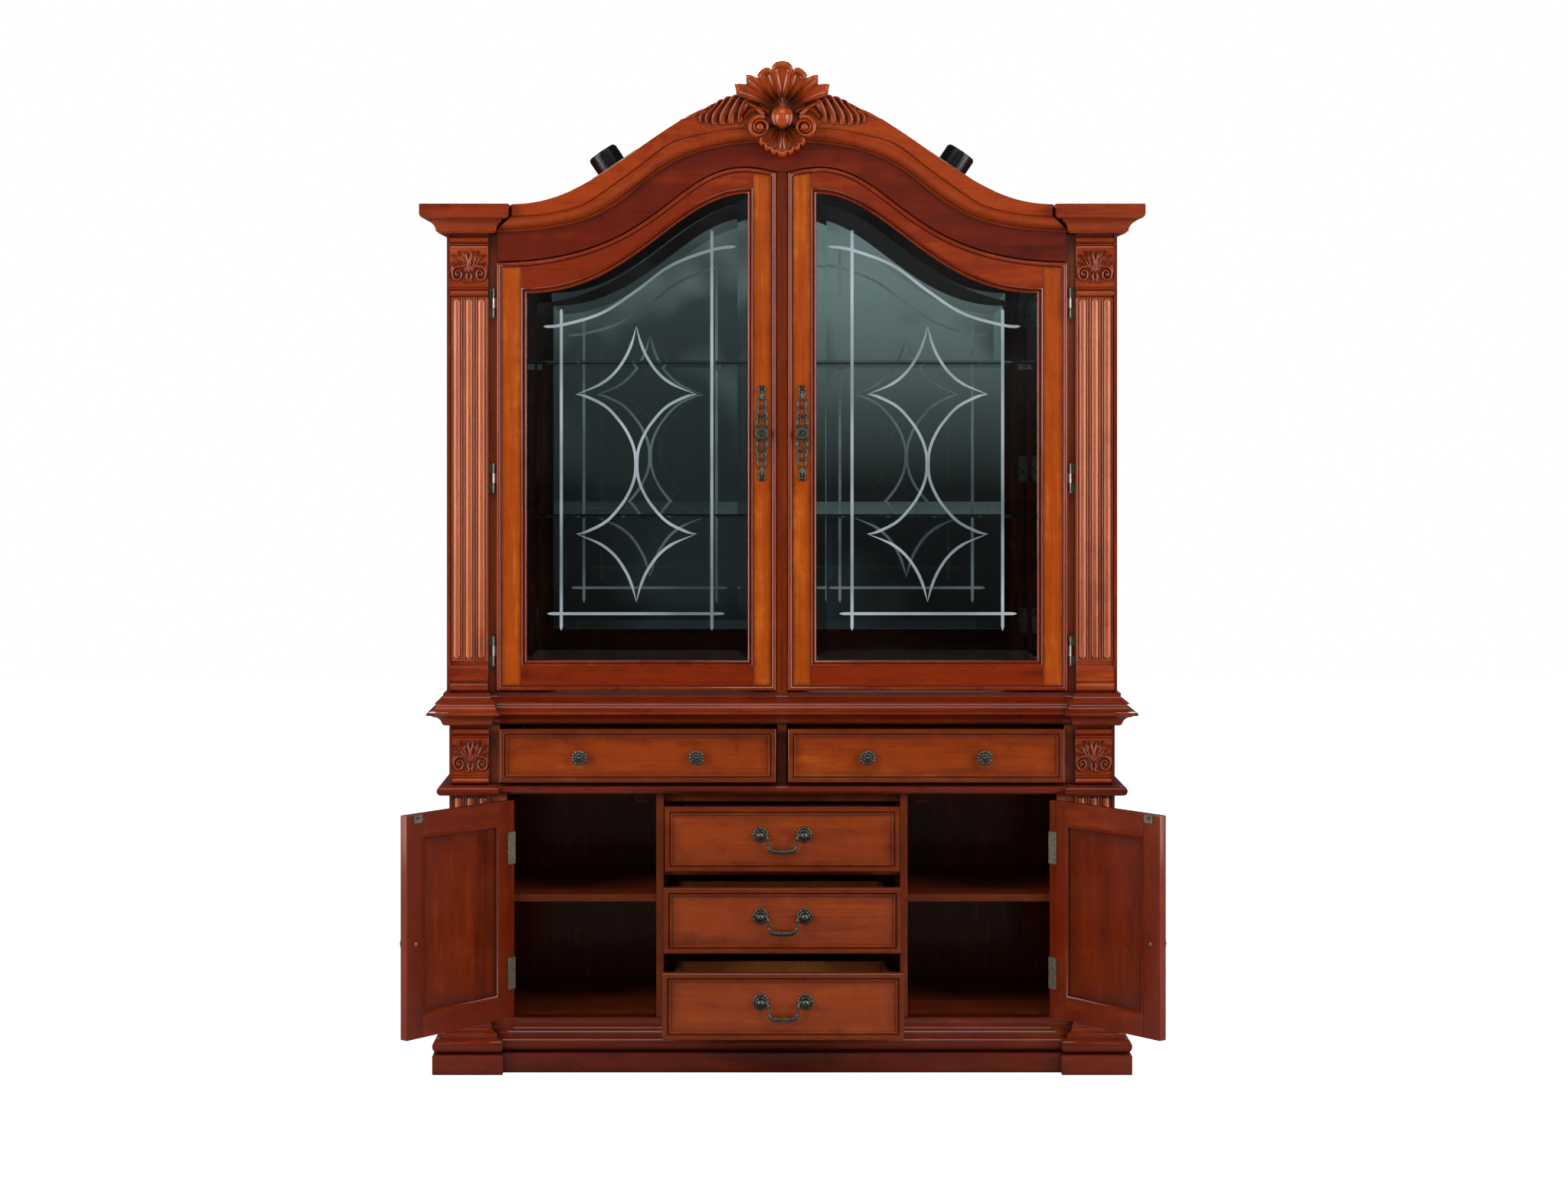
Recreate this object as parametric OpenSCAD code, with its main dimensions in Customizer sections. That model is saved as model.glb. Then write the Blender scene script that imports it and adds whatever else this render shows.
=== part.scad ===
// Two-part china cabinet: a buffet base with doors and drawers under a glazed hutch with an arched crown.
// +X is to the right, +Y to the back, +Z up. The origin is on the floor under the middle of the case.

/* [Case] */
// Half of the width over the side panels of the base
base_half = 734; // [700:1:760]
// Half of the width over the side panels of the hutch
hutch_half = 740; // [700:1:752]
// Depth from the pilaster faces of the base to the wall
case_depth = 480; // [440:1:520]
// How far the middle of the front stands back from the pilasters
breakfront = 25; // [15:1:30]
// Thickness of the side panels and the tall boards
board = 18; // [14:1:20]
// Thickness of the thin back panels
back_board = 8; // [5:1:9]

/* [Base] */
// Height of the base compartment floor
floor_z = 115; // [100:1:120]
// Underside of the moulded shelf between the doors and the upper drawers
waist_z = 610; // [600:1:620]
// Thickness of that moulded shelf
waist_t = 22; // [18:1:26]
// Underside of the counter moulding
counter_z = 763; // [750:1:780]
// Top of the counter
counter_top_z = 812; // [805:1:820]
// Half of the clear width between the two tall partitions
bay_half = 262; // [250:1:275]
// Inner edge of the face stiles beside the lower doors
stile_in = 609; // [600:1:615]
// Inner edge of the pilaster blocks
pilaster_in = 647; // [640:1:660]
// Height of the lower doors
door_h = 478; // [460:1:482]
// Thickness of the lower doors
door_t = 20; // [16:1:24]
// Angle at which the lower doors stand open
door_open = 130; // [0:1:140]

/* [Drawers] */
// Height of a centre drawer front
front_h = 142; // [130:1:150]
// Height from one centre drawer to the next
drawer_pitch = 165; // [160:1:168]
// How far the top centre drawer stands out
pull_top = 75; // [0:1:280]
// How far the middle centre drawer stands out
pull_middle = 150; // [0:1:280]
// How far the bottom centre drawer stands out
pull_bottom = 250; // [0:1:280]
// How far the two upper drawers stand out
pull_frieze = 35; // [0:1:280]
// Thickness of a drawer front
front_t = 20; // [16:1:24]
// Spacing of the two posts of a bail handle
bail_spacing = 96; // [80:1:128]

/* [Hutch] */
// Top of the hutch floor board
hutch_floor_z = 834; // [830:1:840]
// Top of the hutch sides, under the cornice
hutch_side_z = 1848; // [1830:1:1850]
// Height of the flat top of the cornice at both ends
cornice_z = 1911.5; // [1900:0.5:1920]
// Height of the middle of the arched crown
crown_z = 2158.5; // [2140:0.5:2170]
// Height of the top of the carved shell
crest_z = 2226; // [2200:1:2240]
// Height of the lower glass shelf
shelf_low_z = 1226; // [1150:1:1300]
// Height of the upper glass shelf
shelf_high_z = 1568; // [1480:1:1600]
// Thickness of the glass shelves
shelf_t = 8; // [6:1:10]

/* [Hidden] */
$fn = 48;
gap = 0.2;                              // glue line or seam that keeps two boards apart
pilaster_y = -case_depth / 2;           // face of the pilaster blocks
counter_under_z = counter_top_z - 22;   // underside of the counter board, inside its moulding
frame_y = pilaster_y + breakfront;      // face of the frame between them
wall_y = case_depth / 2;                // back of the whole cabinet
back_y = wall_y - back_board;           // inner face of the back panels
inner_half = base_half - board;         // inner face of the base sides
stile_t = 22;                           // depth of the face frame
lip = 7;                                // visible front edge of a side panel beside its pilaster

hutch_in = hutch_half - board;          // inner face of the hutch sides
hutch_pil_y = pilaster_y + 6;           // face of the hutch pilaster blocks
hutch_frame_y = hutch_pil_y + breakfront;
header_y = hutch_frame_y - 17;          // face of the arched board over the doors
glass_door_t = 20.4;                    // thickness of a glass door
glass_door_gap = 1.6;                   // space for the hinge leaf behind a glass door
glass_back_y = hutch_frame_y - glass_door_gap;
glass_front_y = glass_back_y - glass_door_t;
mullion_half = 11;                      // half-width of the strip between the glass doors
glass_out = 631;                        // outer edge of a glass door
glass_in = 12.5;                        // inner edge of a glass door
mirror_t = 5;

hinge_x = 607;                          // hinge line of a lower door
hinge_y = frame_y - 4;
door_out = 605;                         // hinge edge of a lower door
door_in = bay_half + 18;                // free edge of a lower door
door_z = floor_z + 5;
leaf_t = 1.3;                           // thickness of a hinge leaf
lower_hinge_z = [183, 459];             // lower ends of the lower door hinges
lower_hinge_h = 70;
glass_hinge_x = 636.7;                  // hinge line of a glass door
glass_hinge_y = hutch_frame_y - 13;
glass_hinge_z = [893, 1275, 1662];      // lower ends of the glass door hinges
glass_hinge_h = 65;
pin_r = 1.5;
pin_play = 0.05;                        // radial clearance round a hinge pin

drawer_z = [for (i = [0:2]) floor_z + 3 + i * drawer_pitch];   // undersides of the centre fronts
drawer_pull = [pull_bottom, pull_middle, pull_top];
centre_half = bay_half - 4.5;           // half-width of a centre drawer front
frieze_z = waist_z + waist_t + 6;       // underside of an upper drawer front
frieze_h = 118;
frieze_in = 13;                         // inner edge of the right upper drawer front
frieze_out = 622;                       // its outer edge
frieze_knobs = [188, 446];              // knob positions, from the middle of the cabinet
box_h = 95;                             // height of a drawer box
box_d = 400;                            // depth of a drawer box
box_wall = 12;
can_x = 378;                            // middle of a light can where it meets its board
can_y = -145;
can_z = 2000.8;
can_tilt = 34;
can_r = 36;
roof_t = 10;

// Half-profiles of the mouldings, from low to high: [how far it stands out, height]
function arc_pts(u, z, r, a0, a1, n) = [for (i = [0:n]) let (a = a0 + (a1 - a0) * i / n)
    [u + r * cos(a), z + r * sin(a)]];
plinth_profile = concat([[33, 0], [34, 2], [34, 41], [31, 44]], arc_pts(17, 62, 17, -80, 80, 8),
    [[20, 82], [20, 86]], arc_pts(22, 102, 14, 255, 180, 4), [[8, 106], [5, 108], [5, floor_z]]);
waist_profile = concat([[9, waist_z]], arc_pts(14, waist_z + 11, 11, -80, 80, 8), [[9, waist_z + waist_t]]);
counter_profile = concat([[0, counter_z], [8, counter_z + 1], [14, counter_z + 5]],
    arc_pts(34, counter_z + 2, 20, 165, 95, 5), [[35, 788], [45, 789], [46, 792], [44, 795]],
    arc_pts(42, 812, 16, 262, 190, 5), [[24, counter_top_z]]);
hutch_foot_profile = [[24, 812], [21, 814], [15, 818], [11, 824], [8, 829], [7, hutch_floor_z]];
cornice_profile = concat([[17, hutch_side_z]], [[22, 1856]], arc_pts(44, 1852, 22, 160, 115, 4),
    [[34, 1876], [43, 1877], [50, 1880], [54, 1886], [55, 1892], [55, 1908], [52, cornice_z]]);

// Cubic curves that shape the arch: left end, two handles, right end
function bez(p, t) = pow(1 - t, 3) * p[0] + 3 * pow(1 - t, 2) * t * p[1]
    + 3 * (1 - t) * t * t * p[2] + pow(t, 3) * p[3];
function curve(p, n) = [for (i = [0:n]) bez(p, i / n)];
function flip(pts) = [for (i = [len(pts) - 1:-1:0]) [-pts[i][0], pts[i][1]]];
function back(pts) = [for (i = [len(pts) - 1:-1:0]) pts[i]];
function arch(p, n = 16) = let (l = curve(p, n)) concat(l, [for (i = [1:n]) flip(l)[i]]);
function mix(a, b, k) = [for (i = [0:3]) a[i] * (1 - k) + b[i] * k];
function lift(p, dz) = [for (q = p) [q[0], q[1] + dz]];
crown_top = [[-594, cornice_z], [-370, cornice_z], [-270, crown_z], [0, crown_z]];
cove_low = [[-634, 1851], [-240, 1851], [-389, 2050], [0, 2050]];
roof_line = lift(crown_top, -1 - roof_t);   // underside of the roof
door_top = [[-glass_out, 1784.5], [-274, 1784.5], [-246, 1994], [-80, 1994]];
glass_top = [[-564, 1716], [-330, 1716], [-232, 1936], [-76, 1936]];
rail_drop = 12;                         // fall of the door top from its peak to the middle

// ---- Helpers ----
module box(x, y, z) {
    translate([x[0], y[0], z[0]])
        cube([x[1] - x[0], y[1] - y[0], z[1] - z[0]]);
}

module pair() {
    children();
    mirror([1, 0, 0])
        children();
}

// Extrudes an outline drawn in X and Z from y0 to y1
module along_y(y0, y1) {
    translate([0, y1, 0])
        rotate([90, 0, 0])
            linear_extrude(y1 - y0)
                children();
}

// Extrudes an outline drawn in Y and Z from x0 to x1
module along_x(x0, x1) {
    translate([x0, 0, 0])
        rotate([90, 0, 90])
            linear_extrude(x1 - x0)
                children();
}

// A block whose front and both ends carry a profile; grow_in scales the profile on the inner end
module moulded_block(x, y, profile, grow_left = 1, grow_right = 1) {
    intersection() {
        along_y(y[0] - 80, y[1])
            polygon(concat([for (p = profile) [x[0] - grow_left * p[0], p[1]]],
                back([for (p = profile) [x[1] + grow_right * p[0], p[1]]])));
        along_x(x[0] - 80, x[1] + 80)
            polygon(concat([for (p = profile) [y[0] - p[0], p[1]]],
                back([for (p = profile) [y[1], p[1]]])));
    }
}

// Moulding round the whole front, with a block standing forward at each end
module breakfront_block(half, inner, face, recess, profile, grow = 1) {
    moulded_block([-half, half], [face + recess, wall_y], profile);
    pair()
        moulded_block([-half, -inner], [face, wall_y], profile, 1, grow);
}

module rod_x(r, x0, x1, y, z) {
    translate([x0, y, z])
        rotate([0, 90, 0])
            cylinder(r = r, h = x1 - x0);
}

module rod_y(r, x, y0, y1, z) {
    translate([x, y1, z])
        rotate([90, 0, 0])
            cylinder(r = r, h = y1 - y0);
}

// Swings a lower left door from closed to where it stands open
module opened() {
    translate([-hinge_x, hinge_y, 0])
        rotate([0, 0, -door_open])
            translate([hinge_x, -hinge_y, 0])
                children();
}

// ---- Base ----
module plinth() {
    color("sienna")
        difference() {
            breakfront_block(base_half, pilaster_in, pilaster_y, breakfront, plinth_profile);
            pair()
                box([10 + gap, inner_half - 4], [frame_y + stile_t, back_y - 14], [-1, floor_z + 1]);
            box([-inner_half, inner_half], [frame_y + stile_t, wall_y + 1], [floor_z - board, floor_z + 1]);
            pair()
                box([-1, inner_half - 4], [back_y - 14 - gap, back_y - 14], [-1, floor_z]);
            pair()
                box([-1, inner_half - 4], [frame_y + stile_t, frame_y + stile_t + gap], [-1, floor_z]);
            pair()
                box([inner_half - 4 - gap, inner_half - 4], [frame_y - 200, wall_y + 1], [-1, floor_z + 1]);
        }
}

module base_floor() {
    color("saddlebrown")
        box([-inner_half + gap, inner_half - gap], [frame_y + stile_t + gap, back_y - gap],
            [floor_z - board + gap, floor_z]);
}

// One side panel in plan, with its front edge showing beside the pilaster
module side_plan(half) {
    polygon([[half - board, frame_y], [half - lip, frame_y], [half - lip, pilaster_y + 4],
        [half, pilaster_y + 4], [half, wall_y], [half - board, wall_y]]);
}

module base_sides() {
    color("sienna")
        pair()
            for (tier = [[floor_z, waist_z], [waist_z + waist_t, counter_z]])
                translate([0, 0, tier[0]])
                    linear_extrude(tier[1] - tier[0])
                        side_plan(base_half);
}

module base_back() {
    color("saddlebrown")
        for (tier = [[floor_z - board + gap, waist_z - gap], [waist_z + waist_t + gap, counter_under_z - gap]])
            box([-inner_half + gap, inner_half - gap], [back_y, wall_y], tier);
}

module partitions() {
    color("saddlebrown") {
        pair()
            box([bay_half, bay_half + 16], [frame_y, back_y - gap], [floor_z + gap, waist_z - gap]);
        box([-10, 10], [frame_y, back_y - gap], [waist_z + waist_t + gap, counter_z - gap]);
    }
}

module base_shelves() {
    color("saddlebrown")
        pair()
            box([bay_half + 16.5, inner_half - 0.5], [frame_y + 60, back_y - gap], [361, 377]);
}

// Rails and runners that carry the drawers
module drawer_runners() {
    color("tan") {
        for (i = [1:2]) {
            top = drawer_z[i] - 3;
            box([-bay_half + gap, bay_half - gap], [frame_y + front_t + 2, frame_y + 70], [top - board, top]);
            pair()
                box([bay_half - 45, bay_half - gap], [frame_y + 70 + gap, back_y - gap], [top - board, top]);
        }
        box([-bay_half + gap, bay_half - gap], [frame_y + front_t + 2, frame_y + 70],
            [waist_z - 20, waist_z - gap]);
        pair()
            for (x = [[10 + gap, 30], [frieze_out - 25, frieze_out + 12]])
                box(x, [frame_y + 40, back_y - gap], [waist_z + waist_t + gap, waist_z + waist_t + 4]);
    }
}

module waist_shelf() {
    color("sienna")
        difference() {
            breakfront_block(base_half, pilaster_in, pilaster_y, breakfront, waist_profile);
            box([-inner_half, inner_half], [back_y, wall_y + 1], [waist_z - 1, waist_z + waist_t + 1]);
        }
}

module counter_top() {
    color("sienna")
        difference() {
            breakfront_block(base_half, pilaster_in, pilaster_y, breakfront, counter_profile, 0.6);
            box([-inner_half, inner_half], [frame_y + stile_t, wall_y + 1], [counter_z - 1, counter_under_z]);
        }
}

// Reeded shaft: three wide reeds with a narrow bead between each two
module reeds(x_mid, y, z) {
    for (i = [-1:1])
        translate([x_mid + i * 27, y + 1, z[0]])
            cylinder(r = 9, h = z[1] - z[0]);
    for (i = [-1, 1])
        translate([x_mid + i * 13.5, y + 1, z[0]])
            cylinder(r = 3.2, h = z[1] - z[0]);
}

// Carved block with a bead above and below its panel
module corbel(x, y, back, z) {
    box(x, [y + 3, back], z);
    box(x, [y, back - 4], [z[0] + 18, z[1] - 24]);
    rod_x(6, x[0], x[1], y + 4, z[0] + 8);
    rod_x(6, x[0], x[1], y + 4, z[1] - 12);
}

module base_pilasters() {
    mid = (pilaster_in + base_half - lip) / 2;
    color("firebrick")
        pair() {
            box([pilaster_in, base_half - lip - gap], [pilaster_y + 8, frame_y - gap],
                [floor_z + gap, waist_z - gap]);
            reeds(mid, pilaster_y + 8, [floor_z + 14, waist_z - gap]);
            corbel([pilaster_in, base_half - lip - gap], pilaster_y + 1, frame_y - gap,
                [waist_z + waist_t + gap, counter_z - gap]);
            box([stile_in, inner_half - gap], [frame_y, frame_y + stile_t], [floor_z + gap, waist_z - gap]);
            box([frieze_out + 3, inner_half - gap], [frame_y, frame_y + stile_t],
                [waist_z + waist_t + gap, counter_z - gap]);
        }
}

// ---- Hutch case ----
module hutch_floor() {
    color("sienna")
        breakfront_block(hutch_half, pilaster_in + 2, hutch_pil_y, breakfront, hutch_foot_profile, 0.8);
}

module hutch_sides() {
    color("sienna")
        pair()
            translate([0, 0, hutch_floor_z])
                linear_extrude(hutch_side_z - hutch_floor_z)
                    polygon([[hutch_in, hutch_frame_y], [hutch_half - lip, hutch_frame_y],
                        [hutch_half - lip, hutch_pil_y + 4], [hutch_half, hutch_pil_y + 4],
                        [hutch_half, wall_y], [hutch_in, wall_y]]);
}

// Outline of the top of the inside of the hutch, drop below the roof
function under_roof(drop) = concat([[-hutch_in + gap, roof_line[0][1] - drop]], arch(lift(roof_line, -drop)),
    [[hutch_in - gap, roof_line[0][1] - drop]]);

module hutch_back() {
    color("saddlebrown")
        along_y(back_y, wall_y)
            polygon(concat([[-hutch_in + gap, hutch_floor_z + gap], [hutch_in - gap, hutch_floor_z + gap]],
                back(under_roof(gap))));
}

module mirror_outline(inset) {
    polygon(concat([[-hutch_in + inset, hutch_floor_z + inset], [hutch_in - inset, hutch_floor_z + inset]],
        back([for (p = under_roof(inset)) [p[0] * (hutch_in - inset) / (hutch_in - gap), p[1]]])));
}

module mirror_panel() {
    color("lightsteelblue")
        along_y(back_y - mirror_t - gap, back_y - gap)
            mirror_outline(4);
}

// Axis of a light can, square to the slope of the roof
module at_can() {
    translate([-can_x, can_y, can_z])
        rotate([0, -can_tilt, 0])
            children();
}

module hutch_roof() {
    top = arch(lift(roof_line, roof_t));
    low = arch(roof_line);
    color("saddlebrown")
        difference() {
            along_y(hutch_frame_y + stile_t + gap, wall_y)
                polygon(concat([[-hutch_in + gap, low[0][1]]], [[-hutch_in + gap, top[0][1]]], top,
                    [[hutch_in - gap, top[0][1]], [hutch_in - gap, low[0][1]]], back(low)));
            pair()
                at_can()
                    translate([0, 0, -80])
                        cylinder(r = can_r - 8, h = 100);
        }
}

// Door line across both doors, moved up by rise
function door_line(rise) = let (l = concat(curve(door_top, 18), [[-48, 1991], [-12, 1994 - rail_drop]]))
    [for (p = concat(l, flip(l))) [p[0], p[1] + rise]];

// Arched board over the doors; its inner layer reaches down behind them as a stop
module header_board() {
    half = glass_out - 3 - gap;
    level = cornice_z - 1;
    top = concat([[-half, level]], arch(lift(crown_top, -1)), [[half, level]]);
    color("sienna")
        for (layer = [[header_y, hutch_frame_y, 2.5], [hutch_frame_y, hutch_frame_y + stile_t, -12]])
            intersection() {
                along_y(layer[0], layer[1])
                    polygon(concat(top, back(door_line(layer[2]))));
                box([-half, half], [header_y - 1, 0], [1700, crown_z]);
            }
}

// Cornice over the left pilaster and side; slack widens its inner end
module cornice(slack) {
    moulded_block([-hutch_half, -pilaster_in - 2 + slack], [hutch_pil_y, wall_y], cornice_profile, 1, 0.9);
}

// Arched crown in stepped layers, with a cornice block over each pilaster and a strip along each side
module crown_moulding() {
    face = header_y - gap;
    steps = [[8, 1], [14, 0.86], [22, 0.62], [30, 0.42], [38, 0.3]];
    frame_back = hutch_frame_y + stile_t;
    color("sienna") {
        difference() {
            for (i = [0:len(steps) - 1])
                along_y(face - steps[i][0], i == 0 ? face : face - steps[i - 1][0])
                    polygon(concat(arch(crown_top), back(arch(mix(crown_top, cove_low, steps[i][1])))));
            pair()
                cornice(gap);
        }
        pair()
            difference() {
                cornice(0);
                box([-glass_out + 3, 0], [face, wall_y + 1], [hutch_side_z - 1, crown_z]);
                box([-hutch_in, 0], [frame_back, wall_y + 1], [hutch_side_z - 1, crown_z]);
                box([-hutch_half - 80, 0], [frame_back, frame_back + gap], [hutch_side_z - 1, crown_z]);
            }
    }
}

module hutch_pilasters() {
    x = [pilaster_in + 2, hutch_half - lip - gap];
    mid = (x[0] + x[1]) / 2;
    color("firebrick")
        pair() {
            box(x, [hutch_pil_y + 8, hutch_frame_y - gap], [hutch_floor_z + gap, 1708]);
            box(x, [hutch_pil_y, hutch_frame_y - gap], [hutch_floor_z + gap, 892]);
            rod_x(9, x[0], x[1], hutch_pil_y + 5, 847);
            reeds(mid, hutch_pil_y + 8, [904, 1708]);
            corbel(x, hutch_pil_y + 1, hutch_frame_y - gap, [1708, hutch_side_z - gap]);
            box([glass_out - 3, hutch_in - gap], [hutch_frame_y, hutch_frame_y + stile_t],
                [hutch_floor_z + gap, hutch_side_z - gap]);
        }
}

module mullion() {
    front = glass_back_y - 6;
    low = hutch_floor_z + gap;
    peak = 1994 - rail_drop;
    color("firebrick") {
        difference() {
            box([-mullion_half, mullion_half], [front, hutch_frame_y], [low, peak + 2.3]);
            translate([0, front, low + 2])
                cylinder(r = 2, h = peak);
        }
        box([-mullion_half, mullion_half], [hutch_frame_y, hutch_frame_y + stile_t], [low, peak - 12.2]);
    }
}

// ---- Carved crest ----
module petal(angle, reach, width) {
    rotate([0, 0, angle]) {
        polygon([[-width / 4, 0], [width / 4, 0], [width / 2, reach - width / 2],
            [-width / 2, reach - width / 2]]);
        translate([0, reach - width / 2])
            circle(r = width / 2);
    }
}

module shell_crest() {
    face = hutch_frame_y - 55 - 2 * gap;
    fan_z = 2101;
    color("firebrick") {
        along_y(face - 26, face)
            translate([0, fan_z]) {
                petal(0, crest_z - fan_z, 50);
                for (side = [-1, 1]) {
                    petal(side * 24, 116, 40);
                    petal(side * 41, 121, 30);
                    petal(side * 57, 124, 24);
                    petal(side * 145, 72, 26);
                    petal(side * 163, 80, 24);
                    translate([side * 49, -20])
                        circle(r = 23);
                }
                petal(180, 88, 26);
                circle(r = 42);
            }
        translate([0, face - 26, fan_z])
            sphere(r = 21);
        pair()
            along_y(face - 14, face)
                polygon([[66, 2066], [110, 2074], [150, 2080], [185, 2084], [223, 2089], [223, 2096],
                    [185, 2108], [150, 2120], [110, 2128], [66, 2126]]);
    }
}

// ---- Glass shelves, their clips and the lights ----
module glass_shelves() {
    color("paleturquoise")
        for (z = [shelf_low_z, shelf_high_z])
            box([-hutch_in + 4, hutch_in - 4], [hutch_frame_y + 40, back_y - mirror_t - 6], [z - shelf_t, z]);
}

module shelf_clips() {
    front = back_y - mirror_t - gap;
    color("silver")
        for (z = [shelf_low_z, shelf_high_z]) {
            low = z - shelf_t - gap;
            pair()
                for (x = [146, 571])
                    box([x - 8, x + 8], [front - 14, front - gap], [low - 8, low]);
            pair()
                for (y = [hutch_frame_y + 80, front - 80])
                    box([hutch_in - 14, hutch_in - gap], [y - 8, y + 8], [low - 8, low]);
        }
}

module light_cans() {
    color("black")
        pair()
            at_can() {
                translate([0, 0, gap])
                    cylinder(r = can_r, h = 38);
                translate([0, 0, 38])
                    cylinder(r = can_r - 2, h = 3);
                translate([0, 0, -20])
                    cylinder(r = can_r - 9, h = 21);
            }
}

// Boards under the cans, scribed to the slope of the roof
module light_boards() {
    color("tan")
        pair()
            difference() {
                at_can()
                    difference() {
                        box([-52, 68], [-45, 45], [-11, 0]);
                        translate([0, 0, -20])
                            cylinder(r = can_r - 8, h = 40);
                    }
                along_y(can_y - 60, can_y + 60)
                    polygon(concat([[-594, 1800]], curve(lift(roof_line, roof_t + gap), 16), [[0, 1800]]));
            }
}

// ---- Hinges and catches ----
// Barrel of a hinge, split in three; part 1 is the middle third, which turns with the door
module barrel(x, y, z, h, r, part) {
    third = (h - 1) / 3;
    if (part == 1)
        translate([x, y, z + third + 0.5])
            difference() {
                cylinder(r = r, h = third);
                translate([0, 0, -1])
                    cylinder(r = pin_r + pin_play, h = third + 2);
            }
    if (part == 0)
        translate([x, y, z]) {
            cylinder(r = r, h = third);
            translate([0, 0, 2 * third + 1])
                cylinder(r = r, h = third);
            cylinder(r = pin_r, h = h);
        }
}

module fixed_hinge_leaves() {
    third = (lower_hinge_h - 1) / 3;
    glass_third = (glass_hinge_h - 1) / 3;
    color("gray")
        pair() {
            for (z = lower_hinge_z) {
                barrel(-hinge_x, hinge_y, z, lower_hinge_h, 3.5, 0);
                for (dz = [0, 2 * third + 1])
                    box([-stile_in + gap, -stile_in + gap + leaf_t], [hinge_y, frame_y + 20],
                        [z + dz, z + dz + third]);
            }
            for (z = glass_hinge_z) {
                barrel(-glass_hinge_x, glass_hinge_y, z, glass_hinge_h, 3, 0);
                for (dz = [0, 2 * glass_third + 1]) {
                    box([-glass_hinge_x - 2.6, -glass_hinge_x - 1.3], [glass_hinge_y, hutch_frame_y - gap],
                        [z + dz, z + dz + glass_third]);
                    box([-648.6, -glass_hinge_x - 1.3], [hutch_frame_y - leaf_t - gap, hutch_frame_y - gap],
                        [z + dz, z + dz + glass_third]);
                }
            }
        }
}

// Two-ball catch under the waist shelf, near each tall partition
module ball_catches() {
    x = 312;
    z = waist_z - 19;
    color("silver")
        pair() {
            box([x - 13, x + 13], [frame_y + 44, frame_y + 48], [z - 7, waist_z - gap]);
            for (dx = [-6, 6]) {
                rod_y(2.2, x + dx, frame_y + 31, frame_y + 45, z);
                translate([x + dx, frame_y + 31, z])
                    sphere(r = 3.4);
            }
        }
}

// ---- Lower doors ----
module base_door_frame() {
    x = [-door_out, -door_in];
    y = [frame_y, frame_y + door_t];
    z = [door_z, door_z + door_h];
    rail = 55;
    color("sienna")
        opened()
            difference() {
                box(x, y, z);
                box([x[0] + rail, x[1] - rail], [y[0] - 1, y[1] + 1], [z[0] + rail, z[1] - rail]);
                box([x[0] + rail - 8, x[1] - rail + 8], [y[0] + 6, y[1] - 6], [z[0] + rail - 8, z[1] - rail + 8]);
            }
}

module base_door_panel() {
    rail = 55;
    color("saddlebrown")
        opened()
            box([-door_out + rail - 7, -door_in - rail + 7], [frame_y + 6.5, frame_y + door_t - 6.5],
                [door_z + rail - 7, door_z + door_h - rail + 7]);
}

// Rosette with a stem and a domed head, standing out from a face at y
module rosette_knob(x, y, z, r) {
    translate([x, y, z])
        rotate([90, 0, 0])
            rotate_extrude($fn = 64)
                polygon([[0, 0], [r * 0.62, 0], [r * 0.6, 2], [r * 0.34, 4], [r * 0.3, 11], [r * 0.8, 14],
                    [r, 17], [r * 0.97, 20], [r * 0.6, 23], [0, 25]]);
}

module base_door_knob() {
    color("dimgray")
        opened()
            rosette_knob(-door_in - 27, frame_y - gap, 322, 17);
}

module base_door_hardware() {
    third = (lower_hinge_h - 1) / 3;
    inner = frame_y + door_t + gap;
    color("gray")
        opened() {
            for (z = lower_hinge_z) {
                barrel(-hinge_x, hinge_y, z, lower_hinge_h, 3.5, 1);
                difference() {
                    box([-door_out - leaf_t - gap, -door_out - gap], [hinge_y, inner + leaf_t],
                        [z + third + 0.5, z + 2 * third + 0.5]);
                    translate([-hinge_x, hinge_y, z])
                        cylinder(r = 2.5, h = lower_hinge_h);
                }
                box([-door_out - leaf_t - gap, -door_out + 22], [inner, inner + leaf_t], [z, z + lower_hinge_h]);
            }
            box([-324, -300], [inner, inner + 1.5], [door_z + door_h - 18, door_z + door_h - 2]);
            box([-313.2, -310.8], [inner, inner + 14], [door_z + door_h - 10, door_z + door_h - 4]);
        }
}

// ---- Glass doors ----
module glass_door_outline() {
    polygon(concat([[-glass_in, 838], [-glass_out, 838]], curve(door_top, 18),
        [[-48, 1991], [-glass_in, 1994 - rail_drop]]));
}

// Glazed opening, widened by grow on every side
module glass_opening(grow) {
    top = [for (p = curve(glass_top, 18)) [p[0] * (564 + grow) / 564, p[1] + grow]];
    polygon(concat([[-76 + grow, 905 - grow], [-564 - grow, 905 - grow]], top, [[-76 + grow, 1936 + grow]]));
}

module glass_door_frame() {
    color("sienna")
        difference() {
            along_y(glass_front_y, glass_back_y)
                glass_door_outline();
            along_y(glass_front_y - 1, glass_back_y + 1)
                glass_opening(0);
            along_y(glass_back_y - 9, glass_back_y + 1)
                glass_opening(9);
        }
}

module glass_door_pane() {
    color("lightcyan")
        along_y(glass_back_y - 8.5, glass_back_y - 3.5)
            glass_opening(8.5);
}

// Pierced back plate with a knob in the middle
module glass_door_handle() {
    x = -44.5;
    color("dimgray") {
        along_y(glass_front_y - gap - 2.5, glass_front_y - gap) {
            for (z = [1318:22.25:1496])
                translate([x, z])
                    circle(r = 8.5);
            polygon([[x - 5, 1306], [x + 5, 1306], [x + 5, 1508], [x - 5, 1508]]);
            translate([x, 1407])
                circle(r = 13);
        }
        rosette_knob(x, glass_front_y - gap - 2, 1407, 13.5);
    }
}

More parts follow.
